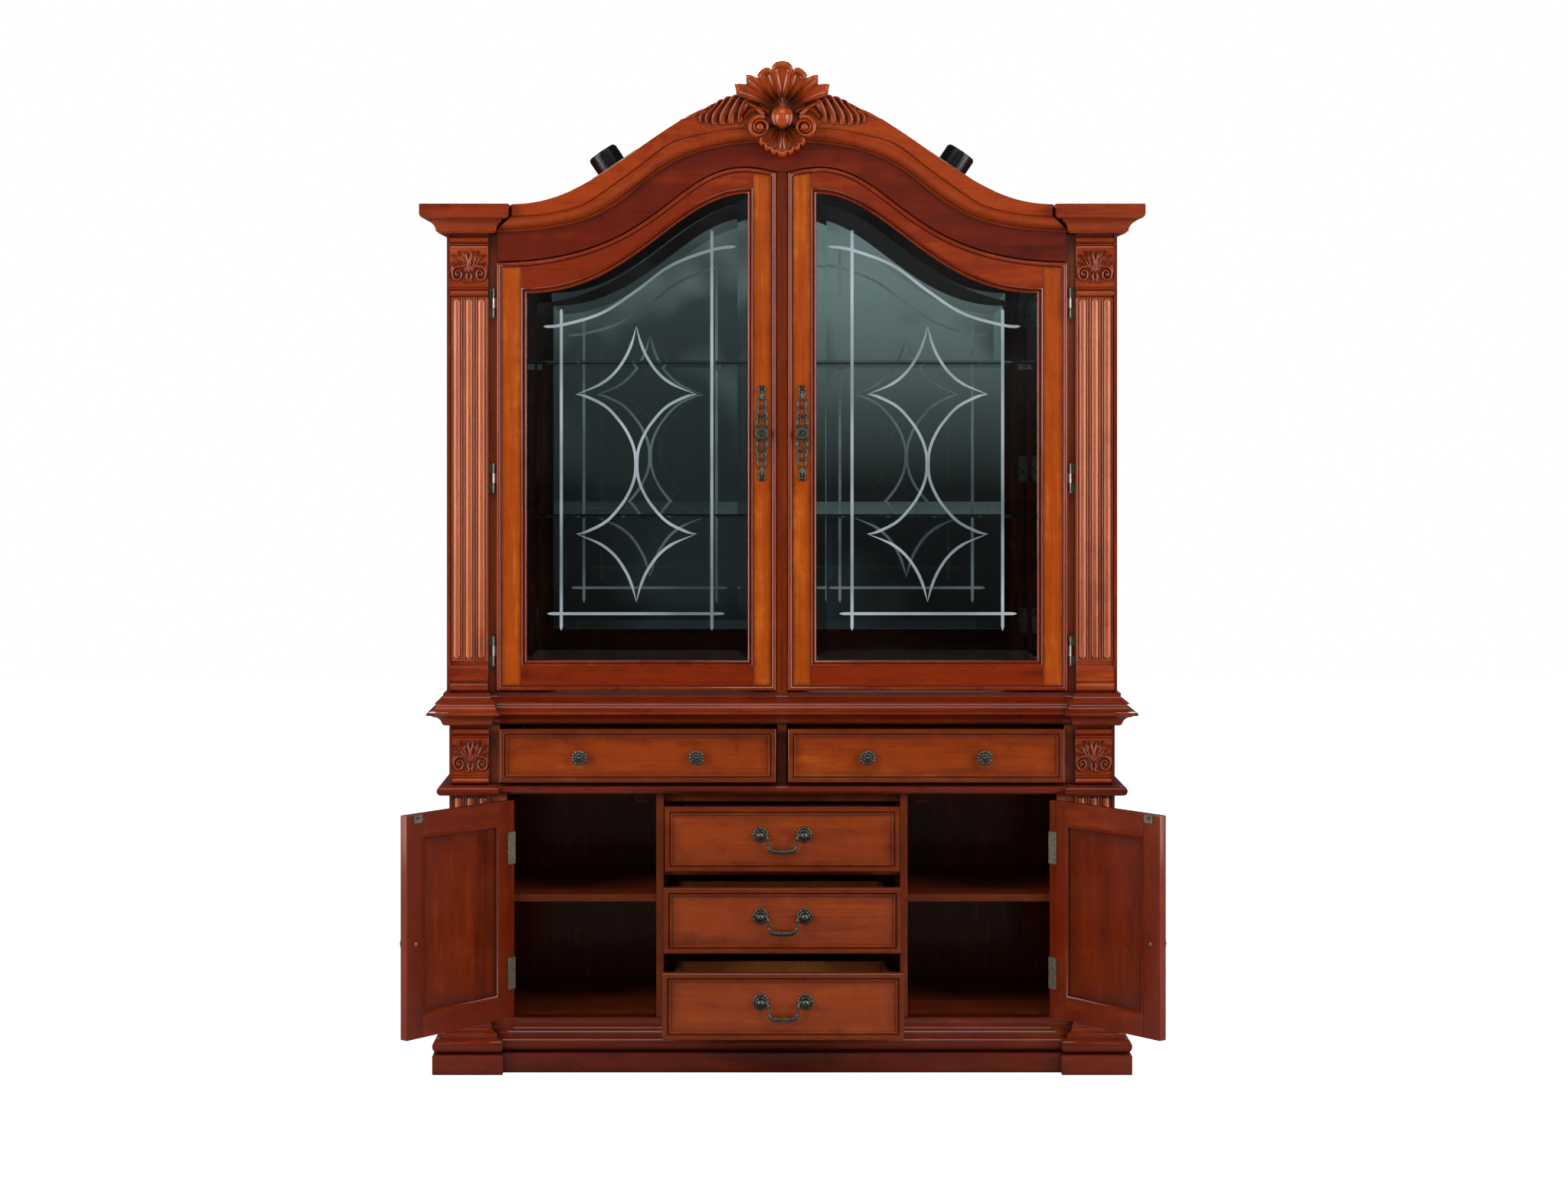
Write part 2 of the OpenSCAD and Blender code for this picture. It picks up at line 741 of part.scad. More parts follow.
module glass_door_hinges() {
    third = (glass_hinge_h - 1) / 3;
    color("silver")
        for (z = glass_hinge_z) {
            barrel(-glass_hinge_x, glass_hinge_y, z, glass_hinge_h, 3, 1);
            difference() {
                box([-glass_hinge_x + 1, -glass_hinge_x + 2.3], [glass_hinge_y, glass_back_y + leaf_t + gap],
                    [z + third + 0.5, z + 2 * third + 0.5]);
                translate([-glass_hinge_x, glass_hinge_y, z])
                    cylinder(r = 2.2, h = glass_hinge_h);
            }
            box([-glass_hinge_x + 1, -603], [glass_back_y + gap, glass_back_y + leaf_t],
                [z + third + 0.5, z + 2 * third + 0.5]);
            box([-glass_out + 4, -603], [glass_back_y + gap, glass_back_y + leaf_t], [z, z + glass_hinge_h]);
        }
}

// ---- Drawers ----
// Drawer front with a raised border round a sunk field; x holds both ends and y its face
module drawer_front(x, y, z, h) {
    color("sienna")
        difference() {
            box(x, [y, y + front_t], [z, z + h]);
            box([x[0] + 11, x[1] - 11], [y - 1, y + 3], [z + 11, z + h - 11]);
            box([x[0] + 17, x[1] - 17], [y - 1, y + 6], [z + 17, z + h - 17]);
        }
}

// Open-topped drawer box behind its front
module drawer_box(x, y, z) {
    color("tan")
        difference() {
            box(x, [y, y + box_d], [z, z + box_h]);
            box([x[0] + box_wall, x[1] - box_wall], [y + box_wall, y + box_d - box_wall],
                [z + 8, z + box_h + 1]);
        }
}

module centre_front(i) {
    drawer_front([-centre_half, centre_half], frame_y - drawer_pull[i], drawer_z[i], front_h);
}

module centre_box(i) {
    drawer_box([-240, 240], frame_y - drawer_pull[i] + front_t + gap, drawer_z[i] - 2.5);
}

// Height and face of the handle of a centre drawer
function bail_y(i) = frame_y - drawer_pull[i] + 6 - 15;
function bail_z(i) = drawer_z[i] + front_h / 2 + 10;

module centre_posts(i) {
    face = frame_y - drawer_pull[i] + 6 - gap;
    color("dimgray")
        for (side = [-1, 1])
            difference() {
                union() {
                    rod_y(17.5, side * bail_spacing / 2, face - 3, face, bail_z(i));
                    rod_y(5.5, side * bail_spacing / 2, face - 19, face - 2, bail_z(i));
                    translate([side * bail_spacing / 2, face - 19, bail_z(i)])
                        sphere(r = 5.5);
                }
                rod_x(2.05, side * bail_spacing / 2 - 20, side * bail_spacing / 2 + 20, bail_y(i), bail_z(i));
            }
}

// Path of the bail in X and Z, from the left pivot to the middle of the grip
bail_half_path = [[-39, 3.4], [-37.6, -3], [-34, -10], [-31, -22], [-26, -33], [-16, -39], [0, -39]];
bail_path = concat(bail_half_path, [for (i = [1:len(bail_half_path) - 1]) flip(bail_half_path)[i]]);
bail_w = 4.6;                           // width of the bent bar of a bail

// Point k of the path, moved sideways by half of the bar's width
function bail_side(k, side) = let (last = len(bail_path) - 1,
    d = bail_path[min(k + 1, last)] - bail_path[max(k - 1, 0)], n = norm(d))
    bail_path[k] + side * bail_w / 2 * [-d[1] / n, d[0] / n];

module centre_bail(i) {
    color("dimgray")
        translate([0, bail_y(i), bail_z(i)]) {
            along_y(-2.2, 2.2)
                polygon(concat([for (k = [0:len(bail_path) - 1]) bail_side(k, 1)],
                    [for (k = [len(bail_path) - 1:-1:0]) bail_side(k, -1)]));
            pair()
                rod_x(2, 37, bail_spacing / 2 + 7, 0, 0);
            rod_x(4, -13, 13, 0, -39);
        }
}

module frieze_front() {
    drawer_front([-frieze_out, -frieze_in], frame_y - pull_frieze, frieze_z, frieze_h);
}

module frieze_box() {
    drawer_box([-frieze_out + 16, -frieze_in - 12], frame_y - pull_frieze + front_t + gap, frieze_z - 1.5);
}

module frieze_knobs() {
    color("dimgray")
        for (x = frieze_knobs)
            rosette_knob(-x, frame_y - pull_frieze + 6 - gap, frieze_z + frieze_h / 2 - 3, 17.5);
}

// ---- Assembly ----
plinth();
base_floor();
base_sides();
base_back();
partitions();
base_shelves();
drawer_runners();
waist_shelf();
counter_top();
base_pilasters();
hutch_floor();
hutch_sides();
hutch_back();
mirror_panel();  // mirror
hutch_roof();
header_board();
crown_moulding();
hutch_pilasters();
mullion();
shell_crest();
glass_shelves();
shelf_clips();
light_cans();
light_boards();
fixed_hinge_leaves();
ball_catches();

base_door_frame();  // base_door_left_frame
base_door_panel();  // base_door_left_panel
base_door_knob();  // base_door_left_knob
base_door_hardware();  // base_door_left_hardware
mirror([1, 0, 0]) base_door_frame();  // base_door_right_frame
mirror([1, 0, 0]) base_door_panel();  // base_door_right_panel
mirror([1, 0, 0]) base_door_knob();  // base_door_right_knob
mirror([1, 0, 0]) base_door_hardware();  // base_door_right_hardware

glass_door_frame();  // glass_door_left_frame
glass_door_pane();  // glass_door_left_pane
glass_door_handle();  // glass_door_left_handle
glass_door_hinges();  // glass_door_left_hinges
mirror([1, 0, 0]) glass_door_frame();  // glass_door_right_frame
mirror([1, 0, 0]) glass_door_pane();  // glass_door_right_pane
mirror([1, 0, 0]) glass_door_handle();  // glass_door_right_handle
mirror([1, 0, 0]) glass_door_hinges();  // glass_door_right_hinges

frieze_front();  // frieze_drawer_left_front
frieze_box();  // frieze_drawer_left_box
frieze_knobs();  // frieze_drawer_left_knobs
mirror([1, 0, 0]) frieze_front();  // frieze_drawer_right_front
mirror([1, 0, 0]) frieze_box();  // frieze_drawer_right_box
mirror([1, 0, 0]) frieze_knobs();  // frieze_drawer_right_knobs

LEVELS = ["bottom", "middle", "top"];
for (i = [0:2]) {
    centre_front(i);
    centre_box(i);
    centre_posts(i);
    centre_bail(i);
}
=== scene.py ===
"""Looks of a two-part china cabinet: wood, carving, metal, glass and light around its CAD frame.

Lengths are in mm in the mesh code and turned into metres when a mesh is made."""

import math

import bmesh
import bpy
from mathutils import Matrix, Vector


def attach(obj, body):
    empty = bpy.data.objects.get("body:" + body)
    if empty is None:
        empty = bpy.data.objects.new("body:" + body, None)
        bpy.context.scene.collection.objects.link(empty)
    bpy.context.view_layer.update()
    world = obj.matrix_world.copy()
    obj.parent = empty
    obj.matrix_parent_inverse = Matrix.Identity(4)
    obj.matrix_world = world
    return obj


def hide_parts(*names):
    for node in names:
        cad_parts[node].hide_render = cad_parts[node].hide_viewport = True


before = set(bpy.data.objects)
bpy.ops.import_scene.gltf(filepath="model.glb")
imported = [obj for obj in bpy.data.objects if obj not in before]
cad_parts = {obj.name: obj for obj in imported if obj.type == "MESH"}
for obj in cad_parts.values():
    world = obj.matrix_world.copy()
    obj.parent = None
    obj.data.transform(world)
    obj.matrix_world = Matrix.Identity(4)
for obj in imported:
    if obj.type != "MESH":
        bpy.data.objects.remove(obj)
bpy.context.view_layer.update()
MM = 0.001

# ---- Sizes shared with the CAD, in mm ----
BASE_HALF, HUTCH_HALF = 734, 740
PIL_Y, FRAME_Y, WALL_Y = -240, -215, 240
HUTCH_PIL_Y = -234
PIL_IN, HUTCH_PIL_IN, LIP = 647, 649, 7
FLOOR_Z, WAIST_Z, WAIST_T, COUNTER_Z, COUNTER_TOP = 115, 610, 22, 763, 812
HUTCH_FLOOR_Z, HUTCH_SIDE_Z, CORNICE_Z = 834, 1848, 1911.5
CROWN_Z = 2158.5
HINGE = Vector((-607, -219, 0))
DOOR_OPEN = 130
PULLS = {"bottom": 250, "middle": 150, "top": 75}
DRAWER_Z = {"bottom": 118, "middle": 283, "top": 448}
PULL_FRIEZE = 35
FRIEZE_Z, FRIEZE_H = 638, 118
FRONT_H = 142
SUNK = 1.5  # how far carving reaches into the wood behind it


# ---- Curves ----
def bezier(p, n):
    out = []
    for i in range(n + 1):
        t = i / n
        k = [(1 - t) ** 3, 3 * (1 - t) ** 2 * t, 3 * (1 - t) * t * t, t**3]
        out.append((sum(a * q[0] for a, q in zip(k, p)), sum(a * q[1] for a, q in zip(k, p))))
    return out


def spline(pts, n):
    """n + 1 points on a smooth curve through pts, of any dimension."""
    out, last = [], len(pts) - 1
    for i in range(n + 1):
        t = last * i / n
        k = min(int(t), last - 1)
        f = t - k
        a, b, c, d = pts[max(k - 1, 0)], pts[k], pts[k + 1], pts[min(k + 2, last)]
        out.append(tuple(
            0.5 * (2 * q + (r - p) * f + (2 * p - 5 * q + 4 * r - s) * f * f + (3 * q - p - 3 * r + s) * f**3)
            for p, q, r, s in zip(a, b, c, d)))
    return out


def circle(n):
    """(cosine, sine) of n even steps round a turn."""
    return [(math.cos(2 * math.pi * j / n), math.sin(2 * math.pi * j / n)) for j in range(n)]


def stations(path):
    """(share of the way, x, z, sideways x, sideways z) at each point of a path; sideways is to its left."""
    last = len(path) - 1
    for i, (x, z) in enumerate(path):
        a, b = path[max(i - 1, 0)], path[min(i + 1, last)]
        length = max(1e-6, math.hypot(b[0] - a[0], b[1] - a[1]))
        yield i / last, x, z, -(b[1] - a[1]) / length, (b[0] - a[0]) / length


def arc(cx, cz, r, a0, a1, n, rz=None):
    rz = r if rz is None else rz
    return [(cx + r * math.cos(math.radians(a0 + (a1 - a0) * i / n)),
             cz + rz * math.sin(math.radians(a0 + (a1 - a0) * i / n))) for i in range(n + 1)]


def mirrored(pts):
    return [(-x, z) for x, z in reversed(pts)]


def both(pts):
    """A curve from the left to the middle, continued to the right."""
    return pts + mirrored(pts)[1:]


def smooth(t):
    t = min(1, max(0, t))
    return t * t * (3 - 2 * t)


def offset(path, d, closed=True):
    """path moved sideways to its left by d, with mitred corners."""
    out, n = [], len(path)
    for i, (x, z) in enumerate(path):
        before = path[i - 1] if closed or i else None
        after = path[(i + 1) % n] if closed or i < n - 1 else None
        sides = []
        for a, b in ((before, (x, z)), ((x, z), after)):
            if a is None or b is None:
                continue
            dx, dz = b[0] - a[0], b[1] - a[1]
            length = math.hypot(dx, dz)
            if length > 1e-6:
                sides.append((-dz / length, dx / length))
        if len(sides) == 1:
            sides *= 2
        nx, nz = sides[0][0] + sides[1][0], sides[0][1] + sides[1][1]
        k = d / max(0.25, 1 + sides[0][0] * sides[1][0] + sides[0][1] * sides[1][1])
        out.append((x + nx * k, z + nz * k))
    return out


class Shape:
    """Closed parts gathered into one mesh, in mm."""

    def __init__(self):
        self.v, self.f = [], []

    def add(self, verts, faces):
        k = len(self.v)
        self.v += [tuple(p) for p in verts]
        self.f += [[i + k for i in f] for f in faces]
        return self

    def rings(self, rings, loop=False, strips=False):
        """Skin through closed rings of equal length, capped unless loop joins the last ring to the first.

        strips caps an end by pairing the points of the first half of its ring with those of the second."""
        n, m = len(rings[0]), len(rings)
        faces = []
        for i in range(m if loop else m - 1):
            k, q = i * n, (i + 1) % m * n
            faces += [[k + j, k + (j + 1) % n, q + (j + 1) % n, q + j] for j in range(n)]
        if strips:
            for k in (0, (m - 1) * n):
                faces += [[k + j, k + j + 1, k + n - 2 - j, k + n - 1 - j] for j in range(n // 2 - 1)]
        elif not loop:
            faces += [list(range(n))[::-1], [(m - 1) * n + j for j in range(n)]]
        return self.add([p for r in rings for p in r], faces)

    def along_y(self, outline, y0, y1, c=0.8):
        """Prism of an anticlockwise X-Z outline with softened edges."""
        steps = [(c, y0), (0.3 * c, y0 + 0.3 * c), (0, y0 + c), (0, y1 - c), (c, y1)]
        return self.rings([[(x, y, z) for x, z in offset(outline, d)] for d, y in steps])

    def along_x(self, outline, x0, x1, c=0.8):
        """Prism of an anticlockwise Y-Z outline with softened ends."""
        near = 0.3 * c
        steps = [(c, x0), (near, x0 + near), (0, x0 + c), (0, x1 - c), (near, x1 - near), (c, x1)]
        return self.rings([[(x, y, z) for y, z in offset(outline, d)] for d, x in steps])

    def board(self, x, y, z, c=1.0):
        """Board with softened edges."""
        x, y, z = sorted(x), sorted(y), sorted(z)
        near, rings = 0.3 * c, []
        low, high = z
        for d, h in ((c, low), (near, low + near), (0, low + c), (0, high - c), (near, high - near), (c, high)):
            x0, x1, y0, y1 = x[0] + d, x[1] - d, y[0] + d, y[1] - d
            rings.append([(x0 + c, y0, h), (x1 - c, y0, h), (x1 - near, y0 + near, h), (x1, y0 + c, h),
                          (x1, y1 - c, h), (x1 - near, y1 - near, h), (x1 - c, y1, h), (x0 + c, y1, h),
                          (x0 + near, y1 - near, h), (x0, y1 - c, h), (x0, y0 + c, h),
                          (x0 + near, y0 + near, h)])
        return self.rings(rings)

    def sweep(self, path, section, closed=True):
        """Section of (distance to the left, y) points swept along an X-Z path, with mitred corners."""
        lines = [offset(path, a, closed) for a, _ in section]
        rings = [[(lines[j][i][0], section[j][1], lines[j][i][1]) for j in range(len(section))]
                 for i in range(len(path))]
        return self.rings(rings, loop=closed)

    def revolve(self, cx, cz, profile, n=48, petals=0, depth=0.0, lift=0.0, where=(0, 1e9)):
        """Turned part round a Y axis from (radius, y) points; petals scallop the rings between two radii."""
        rings = []
        for r, y in profile:
            scalloped = petals and where[0] <= r <= where[1]
            ring = []
            for j, (c, s) in enumerate(circle(n)):
                wave = 1 - abs(math.cos(math.pi * j / n * petals)) ** 0.7 if scalloped else 0
                q = r * (1 - depth * wave)
                ring.append((cx + q * c, y + lift * wave, cz + q * s))
            rings.append(ring)
        return self.rings(rings)

    def tube(self, path, radius, y, n=12):
        """Round bar along an X-Z path at y; radius may be a function of the share of the way."""
        rings = []
        for t, x, z, nx, nz in stations(path):
            r = radius(t) if callable(radius) else radius
            rings.append([(x + nx * r * c, y - r * s, z + nz * r * c) for c, s in circle(n)])
        return self.rings(rings)

    def leaf(self, spine, width, height, section, y, n=18):
        """Carved leaf on a surface y(x, z): section gives heights across it, width and height its run."""
        rings = []
        for t, x, z, nx, nz in stations(spline(spine, n)):
            w, h = max(0.12, width(t)), height(t)
            ring = []
            for u, rise in [(u, -h * c) for u, c in section] + [(0.98, SUNK), (-0.98, SUNK)]:
                px, pz = x + nx * w * u, z + nz * w * u
                ring.append((px, y(px, pz) + rise, pz))
            rings.append(ring)
        return self.rings(rings)

    def dome(self, cx, cz, rx, rz, y, h, n=32, m=7):
        """Half ellipsoid of height h that stands out from y."""
        rings = [[(cx + rx * c, y + SUNK, cz + rz * s) for c, s in circle(n)]]
        for i in range(m):
            out, up = math.cos(math.pi / 2 * i / m), math.sin(math.pi / 2 * i / m)
            rings.append([(cx + rx * out * c, y - h * up, cz + rz * out * s) for c, s in circle(n)])
        return self.rings(rings)

    def frame_panel(self, x, z, y_back, steps):
        """Board whose front steps inwards from its edge: steps of (inset, y)."""
        rings = []
        for d, y in [(0.6, y_back), (0, y_back - 0.6), *steps]:
            x0, x1, z0, z1 = x[0] + d, x[1] - d, z[0] + d, z[1] - d
            rings.append([(x0, y, z0), (x1, y, z0), (x1, y, z1), (x0, y, z1)])
        return self.rings(rings)

    def flipped(self):
        s = Shape()
        s.v, s.f = [(-x, y, z) for x, y, z in self.v], [list(reversed(f)) for f in self.f]
        return s

    def plus(self, other):
        return self.add(other.v, other.f)

    def raised(self, dz):
        s = Shape()
        s.v, s.f = [(x, y, z + dz) for x, y, z in self.v], self.f
        return s

    def paired(self):
        """This shape and its mirror image."""
        return Shape().plus(self).plus(self.flipped())


def even_normals(obj):
    """Keeps large flats flat beside small rounded edges."""
    m = obj.modifiers.new("normals", "WEIGHTED_NORMAL")
    m.keep_sharp, m.weight = True, 80


def piece(name, shape, body, material, replaces=(), angle=38, at=None):
    """Makes a mesh of a shape, rides it on a body and hides the CAD parts it replaces."""
    mesh = bpy.data.meshes.new(name)
    mesh.from_pydata([Vector(p) * MM for p in shape.v], [], shape.f)
    mesh.update()
    bm = bmesh.new()
    bm.from_mesh(mesh)
    bmesh.ops.recalc_face_normals(bm, faces=bm.faces)
    bm.to_mesh(mesh)
    bm.free()
    mesh.shade_smooth()
    mesh.set_sharp_from_angle(angle=math.radians(angle))
    mesh.materials.append(material)
    obj = bpy.data.objects.new(name, mesh)
    bpy.context.scene.collection.objects.link(obj)
    if at is not None:
        obj.matrix_world = at
    even_normals(obj)
    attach(obj, body)
    if replaces:
        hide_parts(*replaces)
    return obj


# ---- Materials ----
def srgb(r, g, b):
    def lin(c):
        c /= 255
        return c / 12.92 if c <= 0.04045 else ((c + 0.055) / 1.055) ** 2.4
    return (lin(r), lin(g), lin(b), 1)


class Tree:
    """Short calls for building a material's nodes."""

    def __init__(self, name):
        self.mat = bpy.data.materials.new(name)
        self.mat.use_nodes = True
        self.nt = self.mat.node_tree
        self.nt.nodes.clear()
        self.out = self.nt.nodes.new("ShaderNodeOutputMaterial")
        self.shader = self.nt.nodes.new("ShaderNodeBsdfPrincipled")
        self.link(self.shader.outputs[0], self.out.inputs["Surface"])

    def link(self, a, b):
        self.nt.links.new(a, b)

    def node(self, kind, inputs=None, **settings):
        n = self.nt.nodes.new(kind)
        for k, v in settings.items():
            setattr(n, k, v)
        for k, v in (inputs or {}).items():
            if isinstance(v, bpy.types.NodeSocket):
                self.link(v, n.inputs[k])
            else:
                n.inputs[k].default_value = v
        return n

    def math(self, op, a, b=0.5, clamp=False):
        return self.node("ShaderNodeMath", {0: a, 1: b}, operation=op, use_clamp=clamp).outputs[0]

    def coords(self, scale, spread=(11.3, 7.1, 5.7)):
        """Object coordinates, shifted by a share that differs from piece to piece, then scaled."""
        where = self.node("ShaderNodeTexCoord").outputs["Object"]
        chance = self.node("ShaderNodeObjectInfo").outputs["Random"]
        shift = self.node("ShaderNodeVectorMath", {0: chance, 1: spread}, operation="MULTIPLY").outputs[0]
        moved = self.node("ShaderNodeVectorMath", {0: where, 1: shift}, operation="ADD").outputs[0]
        return self.node("ShaderNodeVectorMath", {0: moved, 1: scale}, operation="MULTIPLY").outputs[0]

    def noise(self, vector, scale, detail=3, rough=0.55, distort=0.0):
        return self.node("ShaderNodeTexNoise", {"Vector": vector, "Scale": scale, "Detail": detail,
                                                "Roughness": rough, "Distortion": distort}).outputs["Fac"]

    def ramp(self, fac, stops, mode="LINEAR"):
        n = self.node("ShaderNodeValToRGB", {"Fac": fac})
        e = n.color_ramp.elements
        n.color_ramp.interpolation = mode
        while len(e) < len(stops):
            e.new(0.5)
        for k, (p, c) in zip(e, stops):
            k.position = p
            k.color = c if isinstance(c, tuple) else (c, c, c, 1)
        return n.outputs["Color"]

    def mix(self, fac, a, b, mode="MIX"):
        n = self.node("ShaderNodeMix", data_type="RGBA", blend_type=mode)
        for key, v in ((0, fac), (6, a), (7, b)):
            if isinstance(v, bpy.types.NodeSocket):
                self.link(v, n.inputs[key])
            else:
                n.inputs[key].default_value = v
        return n.outputs[2]

    def bump(self, height, strength, distance, after=None):
        inputs = {"Height": height, "Strength": strength, "Distance": distance}
        if after is not None:
            inputs["Normal"] = after
        return self.node("ShaderNodeBump", inputs).outputs[0]

    def finish(self, **values):
        for k, v in values.items():
            key = k.replace("_", " ")
            if isinstance(v, bpy.types.NodeSocket):
                self.link(v, self.shader.inputs[key])
            else:
                self.shader.inputs[key].default_value = v
        return self.mat


AXES = {"x": (0.09, 1, 1), "y": (1, 0.09, 1), "z": (1, 1, 0.09)}
FIBRES = {"x": (0.012, 1, 1), "y": (1, 0.012, 1), "z": (1, 1, 0.012)}
woods = {}


def wood(axis, tone, gloss=0.3, recess_shade=0.68, coat=0.75, edge_shade=None):
    """Stained and lacquered wood with its grain along an axis, with painted shade in its recesses.

    tone names a row of TONES. The number after gloss sets how dark the painted shade in recesses is. The last
    argument, when given, is the (width, height, reach) in metres of a panel with painted shade towards its edges."""
    key = (axis, tone, gloss, recess_shade, coat, edge_shade)
    if key in woods:
        return woods[key]
    dark, middle, light = TONES[tone]
    t = Tree(f"wood_{tone}_{axis}")
    grain = t.coords(AXES[axis])
    fibre = t.coords(FIBRES[axis])
    figure = t.noise(grain, 9, 4, 0.6, 0.9)
    band = t.noise(grain, 46, 3, 0.6, 0.4)
    mottle = t.noise(t.coords((1, 1, 1)), 21, 4, 0.62, 0.2)
    mixed = t.math("ADD", t.math("MULTIPLY", figure, 0.52), t.math("MULTIPLY", band, 0.27))
    mixed = t.math("ADD", mixed, t.math("MULTIPLY", mottle, 0.21))
    colour = t.ramp(mixed, [(0.33, dark), (0.5, middle), (0.67, light)], "EASE")
    streak = t.noise(fibre, 620, 2, 0.7)
    colour = t.mix(1.0, colour, t.ramp(streak, [(0.32, 0.72), (0.5, 0.97), (0.72, 1.0)]), "MULTIPLY")
    pore = t.noise(t.coords(tuple(0.05 if a < 0.5 else 1 for a in AXES[axis])), 1500, 1, 0.5)
    colour = t.mix(t.math("MULTIPLY", t.ramp(pore, [(0.27, 1.0), (0.36, 0.0)]), 0.5), colour, srgb(38, 10, 4))
    fleck = t.node("ShaderNodeTexVoronoi", {"Vector": t.coords((1, 1, 1)), "Scale": 24.0, "Randomness": 1.0})
    spot = t.ramp(fleck.outputs["Distance"], [(0.0, 1.0), (0.032, 1.0), (0.045, 0.0)])
    colour = t.mix(t.math("MULTIPLY", spot, 0.55), colour, srgb(30, 9, 4))
    # Painted shade: the colour darkens to a dark red-brown where ambient occlusion finds a recess or crevice
    open_sky = t.node("ShaderNodeAmbientOcclusion", {"Distance": 0.014}, samples=6).outputs["AO"]
    shade = t.math("MULTIPLY", t.ramp(open_sky, [(0.3, 1.0), (0.62, 0.62), (0.93, 0.0)]), recess_shade)
    uneven = t.math("MULTIPLY", shade, t.ramp(mottle, [(0.25, 0.7), (0.7, 1.0)]))
    colour = t.mix(uneven, colour, srgb(42, 9, 4))
    # Painted shade: a panel grows darker towards its edges, measured across its bounding box
    if edge_shade:
        spot = t.node("ShaderNodeSeparateXYZ", {0: t.node("ShaderNodeTexCoord").outputs["Generated"]})
        near = 1.0
        for k, size in ((0, edge_shade[0]), (2, edge_shade[1])):
            inner = t.math("SUBTRACT", 0.5, t.math("ABSOLUTE", t.math("SUBTRACT", spot.outputs[k], 0.5)))
            near = t.math("MINIMUM", near, t.math("MULTIPLY", inner, size))
        near = t.math("ADD", t.math("MULTIPLY", near, 1 / edge_shade[2]), t.math("MULTIPLY", mottle, 0.5))
        colour = t.mix(t.ramp(near, [(0.3, 0.55), (0.75, 0.16), (1.0, 0.0)], "EASE"), colour, srgb(62, 15, 3))
    rough = t.math("ADD", t.math("MULTIPLY", mottle, 0.16), gloss - 0.08)
    rough = t.math("ADD", rough, t.math("MULTIPLY", shade, 0.12), clamp=True)
    normal = t.bump(streak, 0.10, 0.0004)
    normal = t.bump(t.noise(t.coords((1, 1, 1)), 60, 2, 0.5), 0.10, 0.0012, normal)
    woods[key] = t.finish(Base_Color=colour, Roughness=rough, Normal=normal, IOR=1.5, Specular_IOR_Level=0.22,
                          Coat_Weight=coat, Coat_Roughness=0.13)
    return woods[key]


TONES = {
    "stile": (srgb(122, 36, 4), srgb(180, 76, 12), srgb(222, 114, 30)),
    "rail": (srgb(100, 25, 3), srgb(140, 43, 5), srgb(170, 64, 11)),
    "case": (srgb(88, 22, 4), srgb(124, 38, 7), srgb(156, 60, 15)),
    "carved": (srgb(108, 30, 6), srgb(154, 54, 13), srgb(190, 82, 28)),
    "crest": (srgb(132, 42, 10), srgb(186, 74, 22), srgb(220, 108, 44)),
    "mullion": (srgb(124, 38, 4), srgb(174, 66, 10), srgb(206, 96, 22)),
    "cupboard": (srgb(90, 21, 2), srgb(127, 37, 3), srgb(156, 56, 8)),
    # Lit copy: the crown's row is made lighter for the light that falls on it from above and in front
    "crown": (srgb(126, 38, 5), srgb(172, 64, 11), srgb(200, 92, 24)),
    # Shaded copy: the frieze's row is made darker because it faces forward between the side lights
    "frieze": (srgb(78, 16, 2), srgb(108, 27, 3), srgb(136, 42, 6)),
    # Painted highlight: the reeds' row is made lighter to stand in for the side lights' gloss on them
    "reed": (srgb(146, 60, 26), srgb(196, 98, 54), srgb(226, 134, 88)),
    "field": (srgb(126, 42, 4), srgb(162, 64, 8), srgb(190, 88, 17)),
    "inside": (srgb(96, 34, 10), srgb(128, 52, 16), srgb(156, 72, 27)),
    "drawer": (srgb(166, 102, 54), srgb(194, 128, 76), srgb(212, 150, 96)),
    "ply": (srgb(150, 92, 44), srgb(182, 122, 68), srgb(206, 150, 96)),
}


def metal(name, worn, deep, rough=0.34, scale=260.0, cover=0.8, metallic=1.0):
    """Cast metal, dark in its hollows and brighter where it is rubbed."""
    t = Tree(name)
    grain = t.noise(t.coords((1, 1, 1)), scale, 4, 0.6)
    open_sky = t.node("ShaderNodeAmbientOcclusion", {"Distance": 0.004}, samples=6).outputs["AO"]
    patina = t.math("MULTIPLY", t.ramp(open_sky, [(0.35, 1.0), (0.95, 0.0)]), cover)
    base = t.mix(t.ramp(grain, [(0.3, 0.0), (0.7, 1.0)]), deep, worn)
    colour = t.mix(patina, base, tuple(c * 0.25 for c in deep[:3]) + (1,))
    r = t.math("ADD", t.math("MULTIPLY", grain, 0.25), rough - 0.1, clamp=True)
    return t.finish(Base_Color=colour, Metallic=metallic, Roughness=r, Normal=t.bump(grain, 0.25, 0.0004))


def glass(name, tint):
    """Clear glass with faint smears."""
    t = Tree(name)
    smear = t.noise(t.coords((1, 1, 0.5)), 7, 4, 0.6, 0.4)
    rough = t.ramp(smear, [(0.5, 0.0), (0.85, 0.035)])
    return t.finish(Base_Color=tint, Transmission_Weight=1.0, Roughness=rough, IOR=1.46)


def mirror_glass():
    """Old mirror, slightly uneven."""
    t = Tree("silvered_glass")
    smear = t.noise(t.coords((1, 1, 0.6)), 5, 4, 0.6, 0.5)
    colour = t.mix(t.ramp(smear, [(0.35, 0.0), (0.8, 1.0)]), srgb(232, 240, 237), srgb(212, 224, 221))
    return t.finish(Base_Color=colour, Metallic=1.0, Roughness=t.ramp(smear, [(0.4, 0.012), (0.8, 0.05)]))


